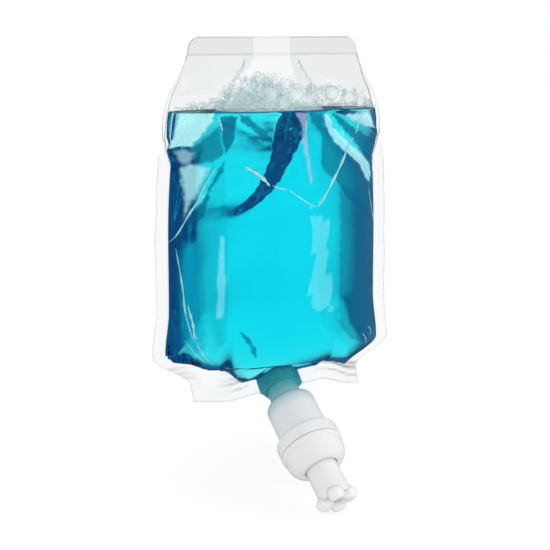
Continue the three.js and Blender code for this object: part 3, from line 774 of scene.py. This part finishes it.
def film_patches():
    """One mesh of painted light and shade, with a grid over each patch's box, cut back to where the patch covers
    anything. Each patch lies a hundredth of a millimetre below the one before."""
    points, faces, covers, tones, base = [], [], [], [], 0
    for number, (outline, strength, tone, soft) in enumerate(PATCHES):
        low, high = np.min(outline, 0) - 1, np.max(outline, 0) + 1
        across = np.arange(low[0], high[0], PATCH_GRID)
        x, rise = np.meshgrid(across, np.arange(low[1], min(high[1], LEVEL_RISE), PATCH_GRID))
        reach = inside_by(x, rise, outline) + ripples(x, rise, 40 + number, 0.35, 2.5, 8)
        cover = strength * smoothstep(reach, -0.2, soft)
        depth = web_depth(x, rise, -1) + PATCH_GAP - PATCH_DROP * number
        points.append(place(x, -depth, rise).reshape(-1, 3))
        quads = grid_faces(*x.shape)
        faces.append(quads[(cover.ravel()[quads] > 0).any(1)] + base)
        covers.append(cover.ravel())
        tones.append(np.full(cover.size, tone))
        base += cover.size
    faces, points = np.concatenate(faces), np.concatenate(points)
    used, faces = np.unique(faces, return_inverse=True)
    print(len(PATCHES), "patches under the film")
    return mesh_piece(
        "film_patches", points[used], faces.reshape(-1, 4),
        cover=np.concatenate(covers)[used], tone=np.concatenate(tones)[used],
    )


patches = film_patches()
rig.ride(patches, "pack")
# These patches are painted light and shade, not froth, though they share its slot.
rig.slot(patches, "foam")

# %% [markdown]
# ## Turned plastic
# The neck, collar, ring, dome and nozzle are all round about the pump's axis. Each is an outline of
# radius and reach with its corners rounded, carried round the axis. Reach is measured along the axis,
# outwards from the bottom seam.

# %% Turning on the pump's axis
PUMP_TURN = Matrix.Rotation(-LEAN, 3, "X") @ Matrix.Rotation(-SWING, 3, "Y")


def on_axis(points):
    """Turns points from straight down to the pump's axis."""
    return np.asarray(points) @ np.array(PUMP_TURN).T


def rounded(outline, radius=0.5, steps=4):
    """Replaces each corner of a closed outline by a short curve that starts radius before it and ends radius
    after it, or nearer where an edge is short."""
    points = np.array(outline, float)
    out = []
    for before, here, after in zip(np.roll(points, 1, 0), points, np.roll(points, -1, 0)):
        a, b = before - here, after - here
        la, lb = np.linalg.norm(a), np.linalg.norm(b)
        reach = min(radius, la * 0.45, lb * 0.45)
        t = np.linspace(0, 1, steps + 1)[:, None]
        p, q = here + a / la * reach, here + b / lb * reach
        out.append(p * (1 - t) ** 2 + 2 * here * t * (1 - t) + q * t**2)
    return np.concatenate(out)


def round_faces(sides, n):
    """Quads of a closed profile of n points carried round the axis."""
    j, i = np.meshgrid(np.arange(n), np.arange(sides), indexing="ij")
    j2, i2 = (j + 1) % n, (i + 1) % sides
    return np.stack([i * n + j, i2 * n + j, i2 * n + j2, i * n + j2], -1).reshape(-1, 4)


def turned(name, outline, radius=0.5, sides=96):
    """A closed [radius, reach] outline carried round the pump's axis."""
    profile = rounded(outline, radius)
    angle = np.linspace(0, 2 * np.pi, sides, endpoint=False)[:, None]
    r, reach = np.maximum(profile[:, 0], 0)[None, :], profile[:, 1][None, :]
    points = np.stack([r * np.cos(angle), r * np.sin(angle), -reach + 0 * angle], -1)
    area = np.sum(profile[:, 0] * np.roll(profile[:, 1], -1) - np.roll(profile[:, 0], -1) * profile[:, 1])
    quads = round_faces(sides, len(profile))
    if area < 0:
        quads = quads[:, ::-1]
    return mesh_piece(name, on_axis(points.reshape(-1, 3)), quads)


def arc(centre, radius, start, end, steps=10):
    """Points of an arc in the [radius, reach] plane, angles in degrees from the outward direction."""
    a = np.radians(np.linspace(start, end, steps + 1))
    return [(centre[0] + radius[0] * math.cos(v), centre[1] + radius[1] * math.sin(v)) for v in a]


collar = turned("collar_shell", [
    (10.7, 10.5), (11.4, 10.5), *arc((11.4, 16), (4.4, 5.5), -80, 0, 8), (15.8, 37.3), (15.3, 37.9),
    (14, 37.9), (14, 20.4), (10.8, 20.4), (10.8, 18.5), (13.6, 18.5), (13.6, 14), (12.4, 12.3), (10.7, 12.3),
], 0.4)
ring = turned("pump_ring", [
    (12, 26.1), (13.6, 26.1), (13.6, 38.2), *arc((18, 40.2), (2, 2), -90, 0, 6), (20, 46.2), (19.6, 46.8),
    (18.4, 46.8), (18.4, 40), (12, 40),
], 0.3)
dome = turned("pump_dome", [
    (16.6, 40.4), (18.1, 40.4), (18.1, 47.1), (19.5, 47.1), (20, 47.6), (20, 49.9), (19.6, 50.4),
    (18.9, 50.5), (18.9, 53), *arc((10.9, 53), (8, 9.6), 8, 88, 12), (10.9, 62.6), (10.6, 62.3),
    (10.6, 60.9), (13, 60.9), (16.6, 58),
], 0.3)
print("turned pieces:", collar.name, ring.name, dome.name)

# %% [markdown]
# The neck is a tube on a boat-shaped foot that is welded between the webs, and the nozzle is a tube that
# ends in a flange of four round lobes.

# %% Neck and nozzle
def joined(name, parts):
    """One object from several, with their meshes side by side."""
    points, faces, base = [], [], 0
    for part in parts:
        mesh = part.data
        co = np.empty(len(mesh.vertices) * 3)
        mesh.vertices.foreach_get("co", co)
        points.append(co.reshape(-1, 3) / MM)
        sizes, corners = np.empty(len(mesh.polygons), np.int32), np.empty(len(mesh.loops), np.int32)
        mesh.polygons.foreach_get("loop_total", sizes)
        mesh.loops.foreach_get("vertex_index", corners)
        faces += [face.tolist() for face in np.split(corners + base, np.cumsum(sizes)[:-1])]
        base += len(mesh.vertices)
        bpy.data.objects.remove(part)
    return mesh_piece(name, np.concatenate(points), faces)


def boat_foot():
    """Foot of the neck: a grid over x and rise for each face, closed round the rim."""
    x = np.linspace(-14.5, 14.5, 47)[None, :]
    rise = np.linspace(0.4, 10.4, 12)[:, None]
    half = np.maximum(foot_half(x), 0.6) + 0 * rise
    ribs = 0.25 * np.sin(rise * 2 * np.pi / 2.6)
    front = place(x, -(half + ribs * 0.5), rise)
    rear = place(x, half + ribs * 0.5, rise)
    return closed_block("foot", front, rear)


def clover(end, turn, lobe=5.0, circle=8.0, mouth=2.8, sides=192):
    """Flange of four round lobes. At each angle the rim is the far side of the nearest lobe's circle, and the
    plate is thickest on the lobes. The edge is fully rounded: half an ellipse from face to face."""
    angle = np.linspace(0, 2 * np.pi, sides, endpoint=False)[:, None]
    off = (angle - turn + np.pi / 4) % (np.pi / 2) - np.pi / 4
    rim = circle * np.cos(off) + np.sqrt(np.maximum(lobe**2 - (circle * np.sin(off)) ** 2, 0.6))
    swell = smoothstep(rim, circle - 0.6, circle + lobe)
    half = 2.9 + 1.1 * swell
    inner = rim - 1.6 - 2.4 * swell
    t = np.linspace(-np.pi / 2, np.pi / 2, 17)[None, :]
    r = np.concatenate([mouth + 0 * angle, inner + (rim - inner) * np.cos(t), mouth + 0 * angle], 1)
    dish = np.concatenate([-half, half * np.sin(t), half - 1.2], 1)
    points = np.stack([r * np.cos(angle), r * np.sin(angle), -(end - 4 + dish)], -1)
    return mesh_piece("clover", on_axis(points.reshape(-1, 3)), round_faces(sides, r.shape[1]))


neck = joined("neck_spout", [
    boat_foot(),
    turned("tube", [
        (8, -5), (10.15, -5), (10.15, 15.3), (12.2, 16.4), (12.2, 18.1), (10.15, 18.1), (10.15, 22), (8, 22),
    ], 0.3),
])
nozzle = joined("nozzle_tube", [
    turned("tube", [
        (8.4, 54.7), (10.1, 54.7), (10.1, 83), (9.6, 84), (2.8, 84.3), (2.8, 83.6), (8.4, 82),
    ], 0.4),
    clover(88.6, math.radians(-20)),
])
for piece, node, body, finish in (
    (neck, "spout_fitment", "pack", "milky_plastic"), (collar, "collar", "pack", "milky_plastic"),
    (ring, "air_cylinder", "pack", "white_plastic"), (dome, "dome_shell", "pack", "white_plastic"),
    (nozzle, "nozzle", "plunger", "white_plastic"),
):
    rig.replaces(piece, node)
    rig.ride(piece, body)
    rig.slot(piece, finish)
    print(piece.name, len(piece.data.polygons), "faces, stands for", node)

# %% [markdown]
# The return spring is a wire coil between the housing's flange and the large piston. When the nozzle is
# pushed in the spring has to shorten with it, so it flattens along the pump's axis towards its seat.

# %% Return spring
SPRING_SEAT, SPRING_HEAD, STROKE = 26.1, 52.5, 11.0


def coil(name, radius=8.4, wire=0.6, turns=7, steps=36, sides=10):
    """A round wire swept along a helix: across is the radial direction and beside is square to it and to the
    wire, and each ring of the wire is wire x (cos across + sin beside)."""
    t = np.linspace(0, 1, turns * steps + 1)[:, None]
    angle = 2 * np.pi * turns * t
    low, high = SPRING_SEAT + 1.5 * wire, SPRING_HEAD - 1.5 * wire
    zero = np.zeros_like(t)
    centre = np.concatenate([radius * np.cos(angle), radius * np.sin(angle), -(low + (high - low) * t)], 1)
    across = np.concatenate([np.cos(angle), np.sin(angle), zero], 1)
    rate = 2 * np.pi * turns * radius
    along = np.concatenate([-rate * np.sin(angle), rate * np.cos(angle), zero - (high - low)], 1)
    beside = np.cross(along / np.linalg.norm(along, axis=1)[:, None], across)
    turn = np.linspace(0, 2 * np.pi, sides, endpoint=False)[None, :, None]
    rings = centre[:, None] + wire * (np.cos(turn) * across[:, None] + np.sin(turn) * beside[:, None])
    faces = grid_faces(len(t), sides, closed=True).tolist()
    last = sides * (len(t) - 1)
    faces += [list(range(sides))[::-1], list(range(last, last + sides))]
    return mesh_piece(name, on_axis(rings.reshape(-1, 3)), faces)


spring = coil("spring_coil")
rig.replaces(spring, "return_spring")
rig.ride(spring, "pack")
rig.slot(spring, "spring_steel")
spring_seat, spring_head = on_axis([(0, 0, -SPRING_SEAT), (0, 0, -SPRING_HEAD)]) * MM
kept = 1 - STROKE / (SPRING_HEAD - SPRING_SEAT)
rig.squash(spring, "nozzle_slide", tuple(spring_head - spring_seat), tuple(spring_seat), keep=kept)
print("spring keeps", round(kept, 3), "of its length at full stroke")

# %% [markdown]
# ## Froth
# Shaking leaves a head of bubbles on the soap: many small ones packed against the film, a few large ones
# on top of them, and a trail caught along each tucked fold. Each bubble is a ball of a few dozen faces.
# Bubbles are thrown at random, with a fixed seed, and one that overlaps a larger one too much is dropped.

# %% Froth
def ball():
    """Unit ball of 80 faces: an icosahedron, each face split in four and pushed out to the sphere."""
    g = (1 + 5**0.5) / 2
    corners = np.array([
        (-1, g, 0), (1, g, 0), (-1, -g, 0), (1, -g, 0), (0, -1, g), (0, 1, g), (0, -1, -g), (0, 1, -g),
        (g, 0, -1), (g, 0, 1), (-g, 0, -1), (-g, 0, 1),
    ])
    faces = np.array([
        (0, 11, 5), (0, 5, 1), (0, 1, 7), (0, 7, 10), (0, 10, 11), (1, 5, 9), (5, 11, 4), (11, 10, 2),
        (10, 7, 6), (7, 1, 8), (3, 9, 4), (3, 4, 2), (3, 2, 6), (3, 6, 8), (3, 8, 9), (4, 9, 5), (2, 4, 11),
        (6, 2, 10), (8, 6, 7), (9, 8, 1),
    ])
    a, b, c = corners[faces[:, 0]], corners[faces[:, 1]], corners[faces[:, 2]]
    ab, bc, ca = a + b, b + c, c + a
    split = np.stack([a, ab, ca, ab, b, bc, ca, bc, c, ab, bc, ca], 1).reshape(-1, 3)
    split = split / np.linalg.norm(split, axis=1, keepdims=True)
    points, index = np.unique(np.round(split, 6), axis=0, return_inverse=True)
    return points, index.reshape(-1, 3)


FROTH_TOP = [
    [-66, 185], [-60, 187.5], [-50, 189], [-40, 190], [-32, 196], [-24, 203], [-14, 206], [-4, 207], [6, 203],
    [14, 199], [24, 199], [38, 198], [52, 195], [64, 189], [68, 186],
]
LARGE = np.array([  # x, rise and radius of the large bubbles
    (34.5, 193, 4.6), (46, 189.6, 3.8), (10.5, 192.6, 4.2), (54, 187.6, 2.8), (24.5, 190.6, 3.0),
    (-3, 203, 2.6), (5, 199.5, 2.5), (40, 186.8, 2.3), (17.5, 189, 2.4), (-13, 204.5, 2.2), (-6, 193.5, 2.4),
    (60, 186.4, 2.0),
    (-20, 198, 2.1), (1, 187.5, 2.0), (29, 186.6, 2.1),
])


def froth_balls():
    """Centres and radii of the bubbles: layers of slightly shaken rows behind the film, the large bubbles
    with room round them, and a trail up each tucked fold. Columns are x, rise, depth and radius."""
    chance = np.random.default_rng(11)
    top = smooth_curve(FROTH_TOP)
    layers = []
    for inset, side, pitch in ((0.0, -1, 1.75), (1.5, -1, 1.9), (3.4, -1, 2.2), (0.0, 1, 2.6), (2.6, 1, 3.0)):
        x, rise = np.meshgrid(np.arange(-66, 68, pitch), np.arange(LEVEL_RISE + 0.9, 208, pitch * 0.86))
        x = x + pitch / 2 * (np.arange(len(x)) % 2)[:, None]
        x, rise = (v + chance.uniform(-0.2, 0.2, v.shape) * pitch for v in (x, rise))
        r = pitch * chance.uniform(0.36, 0.6, x.shape)
        depth = side * np.maximum(web_depth(x, rise, side) - 0.25 - r - inset, 0)
        under_top = rise < top(x) - chance.uniform(0, 5, x.shape) ** 1.2
        has_room = web_depth(x, rise, side) > inset + 2 * r
        layers.append(np.stack([x, rise, depth, r], -1)[under_top & has_room])
    small = np.concatenate(layers)
    apart = np.linalg.norm(small[:, None, :2] - LARGE[None, :, :2], axis=2)
    gap = apart - small[:, None, 3] - LARGE[None, :, 2]
    small = small[(gap > -0.3).all(1)]
    depth = -np.maximum(web_depth(LARGE[:, 0], LARGE[:, 1], -1) - 0.3 - LARGE[:, 2], 0)
    large = np.stack([LARGE[:, 0], LARGE[:, 1], depth, LARGE[:, 2]], 1)
    trail = np.linspace(184, 213, 70)
    shake = chance.uniform(-1, 1, (2, 70)) * np.array([[2.2], [0.7]]) * (216 - trail) / 30
    x = np.concatenate([-tuck_left(trail), tuck_right(trail)]) + shake.ravel()
    trail = np.tile(trail, 2)
    r = chance.uniform(0.35, 0.85, 140)
    depth = -np.maximum(web_depth(x, trail, -1) - 0.3 - r, 0) * chance.uniform(0.6, 1, 140)
    return np.concatenate([small, large, np.stack([x, trail, depth, r], 1)])


def froth_core():
    """The mass of fine froth behind the bubbles: a closed block between the tucked folds, from the soap up to
    the froth's top, following the webs a few millimetres in."""
    top = smooth_curve(FROTH_TOP)
    s, t = np.meshgrid(np.linspace(0, 1, 60), np.linspace(0, 1, 14))
    low = LEVEL_RISE + 0.25
    rise = low + t * (top(-36 + 66 * s) - low - 2.5)
    left, right = 2.5 - tuck_left(rise), tuck_right(rise) - 2.5
    x = left + (right - left) * s
    inset = 2.6 * np.sin(np.pi * np.clip(s, 0.03, 0.97)) ** 0.4
    walls = []
    for side in (-1, 1):
        depth = np.maximum(web_depth(x, rise, side) - 1.2 - (3.6 - inset), 0.3)
        depth = depth * np.sqrt(np.clip(np.sin(np.pi * s) * 3, 0.05, 1)) * np.sqrt(np.clip(1.02 - t, 0.02, 1))
        walls.append(place(x, side * depth, rise))
    return closed_block("froth_core", *walls)


bubbles = froth_balls()
ball_points, ball_faces = ball()
centres = place(bubbles[:, 0], bubbles[:, 2], bubbles[:, 1])
points = centres[:, None, :] + bubbles[:, 3, None, None] * ball_points[None, :, :]
faces = ball_faces[None] + (np.arange(len(bubbles)) * len(ball_points))[:, None, None]
froth = mesh_piece("froth", points.reshape(-1, 3), faces.reshape(-1, 3))
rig.replaces(froth, "foam_head")
core = froth_core()
for piece in (froth, core):
    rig.ride(piece, "pack")
    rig.slot(piece, "foam")
print(len(bubbles), "bubbles,", len(froth.data.polygons), "faces")

# %% [markdown]
# ## Finishes
# Clear film is almost invisible: what shows is what it reflects. So the film lets light straight through
# and mixes in a mirror-like gloss that grows at glancing angles, with a little cloudiness where it is
# welded.

# %% Material helpers
def new_material(name):
    """An empty node material and its node and link collections."""
    material = bpy.data.materials.new(name)
    material.use_nodes = True
    tree = material.node_tree
    tree.nodes.clear()
    return material, tree.nodes, tree.links


def node(nodes, kind, inputs=None, **settings):
    """A node with its properties set by keyword and its inputs by name or number."""
    made = nodes.new(kind)
    for key, value in settings.items():
        setattr(made, key, value)
    for key, value in (inputs or {}).items():
        made.inputs[key].default_value = value
    return made


def maths(nodes, links, operation, *values, clamp=False):
    """Output of a Math node. Each value is a number or another node's output."""
    made = node(nodes, "ShaderNodeMath", operation=operation, use_clamp=clamp)
    for socket, value in zip(made.inputs, values):
        if isinstance(value, bpy.types.NodeSocket):
            links.new(value, socket)
        else:
            socket.default_value = value
    return made.outputs[0]


def attribute(nodes, name):
    """A value that each point of the piece carries."""
    return node(nodes, "ShaderNodeAttribute", attribute_name=name).outputs["Fac"]


def edge_share(nodes, links, power, grazing, face_on):
    """grazing x facing^power + face_on: how much a thin skin shows, most where it is seen edge-on."""
    facing = node(nodes, "ShaderNodeLayerWeight", {"Blend": 0.5})
    steep = maths(nodes, links, "POWER", facing.outputs["Facing"], power)
    return maths(nodes, links, "MULTIPLY_ADD", steep, grazing, face_on)


def solid(name, colour, roughness, inputs=None):
    """A material of one Principled shader. Returns it with its shader, and its node and link collections."""
    material, nodes, links = new_material(name)
    out = node(nodes, "ShaderNodeOutputMaterial")
    body = node(nodes, "ShaderNodeBsdfPrincipled", {"Base Color": (*colour, 1), "Roughness": roughness})
    for key, value in (inputs or {}).items():
        body.inputs[key].default_value = value
    links.new(body.outputs[0], out.inputs["Surface"])
    return material, body, nodes, links


def see_through(name, tint, colour, roughness, glow=0.0):
    """A material that mixes a clear layer of one tint with a solid skin; glow makes the skin glow in its own colour,
    which is painted light. Returns it with its mix and skin, and its node and link collections."""
    material, nodes, links = new_material(name)
    out = node(nodes, "ShaderNodeOutputMaterial")
    clear = node(nodes, "ShaderNodeBsdfTransparent", {"Color": (*tint, 1)})
    skin = node(nodes, "ShaderNodeBsdfPrincipled", {
        "Base Color": (*colour, 1), "Roughness": roughness,
        "Emission Color": (*colour, 1), "Emission Strength": glow,
    })
    mix = node(nodes, "ShaderNodeMixShader")
    links.new(clear.outputs[0], mix.inputs[1])
    links.new(skin.outputs[0], mix.inputs[2])
    links.new(mix.outputs[0], out.inputs["Surface"])
    return material, mix, skin, nodes, links


def give(piece, material):
    """One material for the whole piece."""
    piece.data.materials.clear()
    piece.data.materials.append(material)


# %% [markdown]
# The film's gloss reads the weld and shade mark values that each point of the web carries; the marks are painted shade,
# grey lines where the film takes more gloss.

# %% Film
def film_material():
    """Clear film: a see-through layer with a mirror-like gloss whose share is 0.55 x facing^5 + 0.018, more where the
    film is welded, and more along the painted shade marks, which show as grey lines."""
    material, mix, gloss, nodes, links = see_through(
        "clear_film", (0.994, 0.996, 0.997), (0.93, 0.95, 0.96), 0.06
    )
    gloss.inputs["Metallic"].default_value = 0.9
    fresnel = edge_share(nodes, links, 5.0, 0.55, 0.018)
    # Painted shade: marked points take more of the mirror gloss, which sees a dim room, so they show as grey lines.
    line = maths(nodes, links, "MULTIPLY", attribute(nodes, "mark"), 0.25)
    cloud = maths(nodes, links, "MULTIPLY_ADD", attribute(nodes, "weld"), 0.008, line)
    links.new(maths(nodes, links, "ADD", fresnel, cloud, clamp=True), mix.inputs[0])
    return material


film = film_material()
give(front_web, film)
give(back_web, film)
# Painted highlight: the ridges' bright blue-green colour stands in for light sent through the soap by each crease.
creased, *_ = solid("creased_film", (0.4, 0.95, 1.0), 0.3, {"Alpha": 0.8})
give(ridges, creased)
print("film done")

# %% [markdown]
# The soap is a clear liquid with the refractive index of water. Its colour is in its depth: red light is
# soaked up within a few centimetres, so thin places look pale and thick ones deep blue-green.

# %% Soap
def soap_material():
    """A clear liquid of refractive index 1.34 that absorbs red quickly and green and blue slowly."""
    material, nodes, links = new_material("blue_green_soap")
    out = node(nodes, "ShaderNodeOutputMaterial")
    water = node(nodes, "ShaderNodeBsdfPrincipled", {
        "Base Color": (1, 1, 1, 1), "Roughness": 0.0, "IOR": 1.34, "Transmission Weight": 1.0,
    })
    depth = node(nodes, "ShaderNodeVolumeAbsorption", {"Color": (0.0, 0.961, 0.992, 1), "Density": 95.0})
    links.new(water.outputs[0], out.inputs["Surface"])
    links.new(depth.outputs[0], out.inputs["Volume"])
    return material


give(soap, soap_material())
print("soap done")

# %% [markdown]
# Three finishes are here. A bubble is a clear skin that shows as a pale ring, because it is seen edge-on round its
# outline. The fine froth behind is a cloudy body with a cell pattern, and it glows a little in its own colour, which is
# painted light. The painted patches under the film cover the soap by the share that each point carries; their pale
# tones and glow are painted light and their dark tones painted shade.

# %% Froth
def cells(nodes, links, scale, low, high):
    """A cell pattern on the piece: low in the middle of each cell and high along its walls."""
    where = node(nodes, "ShaderNodeTexCoord")
    cell = node(nodes, "ShaderNodeTexVoronoi", {"Scale": scale}, feature="DISTANCE_TO_EDGE")
    span = node(nodes, "ShaderNodeMapRange", {
        "From Min": 0.0, "From Max": 0.22, "To Min": high, "To Max": low,
    })
    links.new(where.outputs["Object"], cell.inputs["Vector"])
    links.new(cell.outputs["Distance"], span.inputs["Value"])
    return span.outputs[0]


bubble_skin, mix, skin, nodes, links = see_through(
    "froth_skin", (0.965, 0.985, 0.982), (0.55, 0.68, 0.68), 0.2
)
links.new(edge_share(nodes, links, 3.0, 0.75, 0.03), mix.inputs[0])
give(froth, bubble_skin)

# Painted light: the fine froth's skin glows at 0.3 in its own colour, though it is no lamp.
fine_froth, mix, skin, nodes, links = see_through(
    "fine_froth", (0.95, 0.98, 0.976), (0.93, 0.98, 0.98), 0.5, 0.3
)
links.new(cells(nodes, links, 700, 0.22, 0.5), mix.inputs[0])
give(core, fine_froth)

# Painted light and shade: the patches' skin glows at 0.25 in its own colour; tones 0 pale and 0.5 lavender are painted
# light, 0.75 blue-green and 1 dark painted shade.
patch_skin, mix, skin, nodes, links = see_through("film_patches", (1, 1, 1), (0.5, 0.9, 0.92), 0.4, 0.25)
colour = node(nodes, "ShaderNodeValToRGB")
colour.color_ramp.elements[0].color = (0.45, 0.88, 0.9, 1)
colour.color_ramp.elements[1].color = (0.0, 0.13, 0.25, 1)
colour.color_ramp.elements.new(0.5).color = (0.36, 0.45, 0.66, 1)
colour.color_ramp.elements.new(0.75).color = (0.0, 0.42, 0.62, 1)
speckle = cells(nodes, links, 420, 1.0, 0.92)
cover = maths(nodes, links, "MULTIPLY", attribute(nodes, "cover"), speckle, clamp=True)
links.new(cover, mix.inputs[0])
links.new(attribute(nodes, "tone"), colour.inputs[0])
for socket in ("Base Color", "Emission Color"):
    links.new(colour.outputs[0], skin.inputs[socket])
skin.inputs["Specular IOR Level"].default_value = 0.0
give(patches, patch_skin)
print("froth done")

# %% [markdown]
# The neck and collar are natural, unpigmented plastic: milky, with light glowing through them. The soap
# behind the neck tints it. The ring, dome and nozzle are the same plastic with white pigment.

# %% Plastics
def plastic(name, colour, roughness, glow):
    """Moulded plastic with a faint grain. glow is the share of light that scatters inside it. Returns the
    material, its shader, and its node and link collections."""
    material, body, nodes, links = solid(name, colour, roughness, {
        "Subsurface Weight": glow, "Subsurface Radius": (1.0, 1.0, 1.0), "Subsurface Scale": 0.004,
    })
    where = node(nodes, "ShaderNodeTexCoord")
    cloud = node(nodes, "ShaderNodeTexNoise", {"Scale": 900, "Detail": 3})
    bump = node(nodes, "ShaderNodeBump", {"Strength": 0.1, "Distance": 0.00005})
    links.new(where.outputs["Object"], cloud.inputs["Vector"])
    links.new(cloud.outputs["Fac"], bump.inputs["Height"])
    links.new(bump.outputs["Normal"], body.inputs["Normal"])
    return material, body, nodes, links


white, *_ = plastic("white_plastic", (0.88, 0.89, 0.9), 0.33, 0.25)
milky, milky_body, nodes, links = plastic("milky_plastic", (0.84, 0.87, 0.89), 0.36, 0.4)
soft, *_ = plastic("soft_seal", (0.8, 0.82, 0.81), 0.5, 0.2)
mesh_cloth, *_ = plastic("screen_mesh", (0.8, 0.82, 0.82), 0.6, 0.0)
where = node(nodes, "ShaderNodeTexCoord")
down_axis = tuple(on_axis([(0, 0, -1)])[0])
along = node(nodes, "ShaderNodeVectorMath", {1: down_axis}, operation="DOT_PRODUCT")
tint = node(nodes, "ShaderNodeValToRGB")
tint.color_ramp.elements[0].color = (0.03, 0.4, 0.46, 1)
tint.color_ramp.elements[1].color = (0.84, 0.87, 0.89, 1)
tint.color_ramp.elements.new(0.55).color = (0.4, 0.62, 0.65, 1)
span = node(nodes, "ShaderNodeMapRange", {"From Min": 0.0, "From Max": 0.022})
links.new(where.outputs["Object"], along.inputs[0])
links.new(along.outputs["Value"], span.inputs["Value"])
links.new(span.outputs[0], tint.inputs[0])
links.new(tint.outputs[0], milky_body.inputs["Base Color"])

steel, *_ = solid("spring_steel", (0.62, 0.63, 0.64), 0.28, {"Metallic": 1.0})

for piece in (neck, collar, ring, dome, nozzle):
    piece.visible_glossy = False
for piece in (neck, collar):
    give(piece, milky)
for piece in (ring, dome, nozzle):
    give(piece, white)
give(spring, steel)
INSIDE = {
    "neck_gasket": soft, "pump_housing": milky, "inlet_valve": soft,
    "liquid_piston": milky, "outlet_valve": steel, "air_piston": white, "air_valve": soft,
    "screen_holder": white, "coarse_screen": mesh_cloth, "fine_screen": mesh_cloth,
}
for name, material in INSIDE.items():
    give(frame["nodes"][name], material)
print("plastics and steel on", len(INSIDE) + 6, "pieces")

# %% [markdown]
# ## Studio
# The pack is shown on plain white. Light comes mostly from behind, through the soap, because that is what
# makes a clear product glow. The floor is matt and lit to white, with only a faint shadow under the pump.

# %% Floor
floor_z = cad_box[0][2] / MM - 0.2
corners = [(-4000, -4000, floor_z), (4000, -4000, floor_z), (4000, 4000, floor_z), (-4000, 4000, floor_z)]
floor = mesh_piece("floor", corners, [(0, 1, 2, 3)])
floor.visible_transmission = floor.visible_glossy = floor.visible_diffuse = False
matt_floor, *_ = solid("pale_floor", (0.6, 0.6, 0.6), 1.0, {
    "Specular IOR Level": 0.0, "Emission Color": (1, 1, 1, 1), "Emission Strength": 0.45,
})
give(floor, matt_floor)
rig.stage(floor)
print("floor at", round(floor_z, 1), "mm")

# %% [markdown]
# The room is white for the camera. For light that has passed through the soap it is bright only in a
# broad patch behind the pack and dim blue beside it, so that the creases and folds of the bag, which send
# that light sideways, show as dark blue shapes. Mirror-like reflections see a nearly dark room, apart
# from the lamps.

# %% World
BRIGHT_SIDE, BRIGHT_WITHIN, DIM_BEYOND = (math.radians(degrees) for degrees in (21, 5, 32))
world = bpy.data.worlds.new("studio")
bpy.context.scene.world = world
world.use_nodes = True
nodes, links = world.node_tree.nodes, world.node_tree.links
nodes.clear()
out = node(nodes, "ShaderNodeOutputWorld")
sky = node(nodes, "ShaderNodeBackground")
where = node(nodes, "ShaderNodeTexCoord")
ray = node(nodes, "ShaderNodeLightPath")
behind = (math.sin(BRIGHT_SIDE), math.cos(BRIGHT_SIDE), 0)
facing = node(nodes, "ShaderNodeVectorMath", {1: behind}, operation="DOT_PRODUCT")
glow = node(nodes, "ShaderNodeMapRange", {
    "From Min": math.cos(DIM_BEYOND), "From Max": math.cos(BRIGHT_WITHIN),
}, interpolation_type="SMOOTHSTEP")
links.new(where.outputs["Generated"], facing.inputs[0])
size = maths(nodes, links, "ABSOLUTE", facing.outputs["Value"])
links.new(size, glow.inputs["Value"])


def blend_colours(first, second, share):
    """first where share is 0, second where it is 1."""
    mix = node(nodes, "ShaderNodeMix", data_type="RGBA")
    links.new(share, mix.inputs[0])
    for socket, value in ((mix.inputs[6], first), (mix.inputs[7], second)):
        if isinstance(value, tuple):
            socket.default_value = (*value, 1)
        else:
            links.new(value, socket)
    return mix.outputs[2]


plain = blend_colours((1.0, 1.0, 1.0), (0.03, 0.03, 0.03), ray.outputs["Is Glossy Ray"])
lobes = blend_colours((0.08, 0.17, 0.31), (1.0, 1.0, 1.0), glow.outputs[0])
through = blend_colours(plain, lobes, ray.outputs["Is Transmission Ray"])
seen = blend_colours(through, (1.0, 1.0, 1.0), ray.outputs["Is Camera Ray"])
links.new(seen, sky.inputs["Color"])
links.new(sky.outputs[0], out.inputs["Surface"])
print("world nodes:", len(nodes))

# %% [markdown]
# Two soft boxes in front are there only to be mirrored: a tall one on the right and one on the left that
# falls on the crease. A third, low on the right, models the plastic and is not mirrored at all.

# %% Lamps
def soft_box(name, where, aim, width, height, radiance, gloss=True, diffuse=True):
    """A rectangular lamp at a place in metres, turned to a point. A lamp's watts are its radiance times its
    area times pi."""
    data = bpy.data.lights.new(name, "AREA")
    data.shape = "RECTANGLE"
    data.size, data.size_y = width, height
    data.energy = radiance * width * height * math.pi
    lamp = bpy.data.objects.new(name, data)
    lamp.location = where
    lamp.rotation_euler = (Vector(aim) - Vector(where)).to_track_quat("-Z", "Y").to_euler()
    lamp.visible_camera = False
    lamp.visible_glossy = gloss
    lamp.visible_diffuse = diffuse
    lamp.visible_transmission = False
    bpy.context.scene.collection.objects.link(lamp)


soft_box("strip_right", (0.73, -0.737, -0.122), (0.018, -0.02, -0.122), 0.25, 0.32, 1.6, diffuse=False)
soft_box("strip_left", (-0.722, -0.805, -0.173), (-0.041, -0.02, -0.173), 0.16, 0.194, 3.2, diffuse=False)
soft_box("key_right", (1.0, -0.6, 0.3), (0.02, -0.03, 0.0), 0.6, 0.6, 2.6, gloss=False)
print("lamps:", [o.name for o in bpy.data.objects if o.type == "LIGHT"])

# %% [markdown]
# Colours are shown as they are, without a film curve. The soap and film need many see-through bounces.

# %% Colour handling
scene = bpy.context.scene
scene.view_settings.view_transform = "Standard"
scene.cycles.max_bounces = 24
scene.cycles.transmission_bounces = 16
scene.cycles.transparent_max_bounces = 64
scene.cycles.glossy_bounces = 6
scene.cycles.diffuse_bounces = 3
print("view transform:", scene.view_settings.view_transform)

# %% [markdown]
# The last cell writes the sizes of the measured model and of this one.

# %% Sizes and finish
with open("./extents.json", "w") as file:
    json.dump({"cad": cad_box, "visual": [list(corner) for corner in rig.bounds()]}, file)
print(open("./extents.json").read())
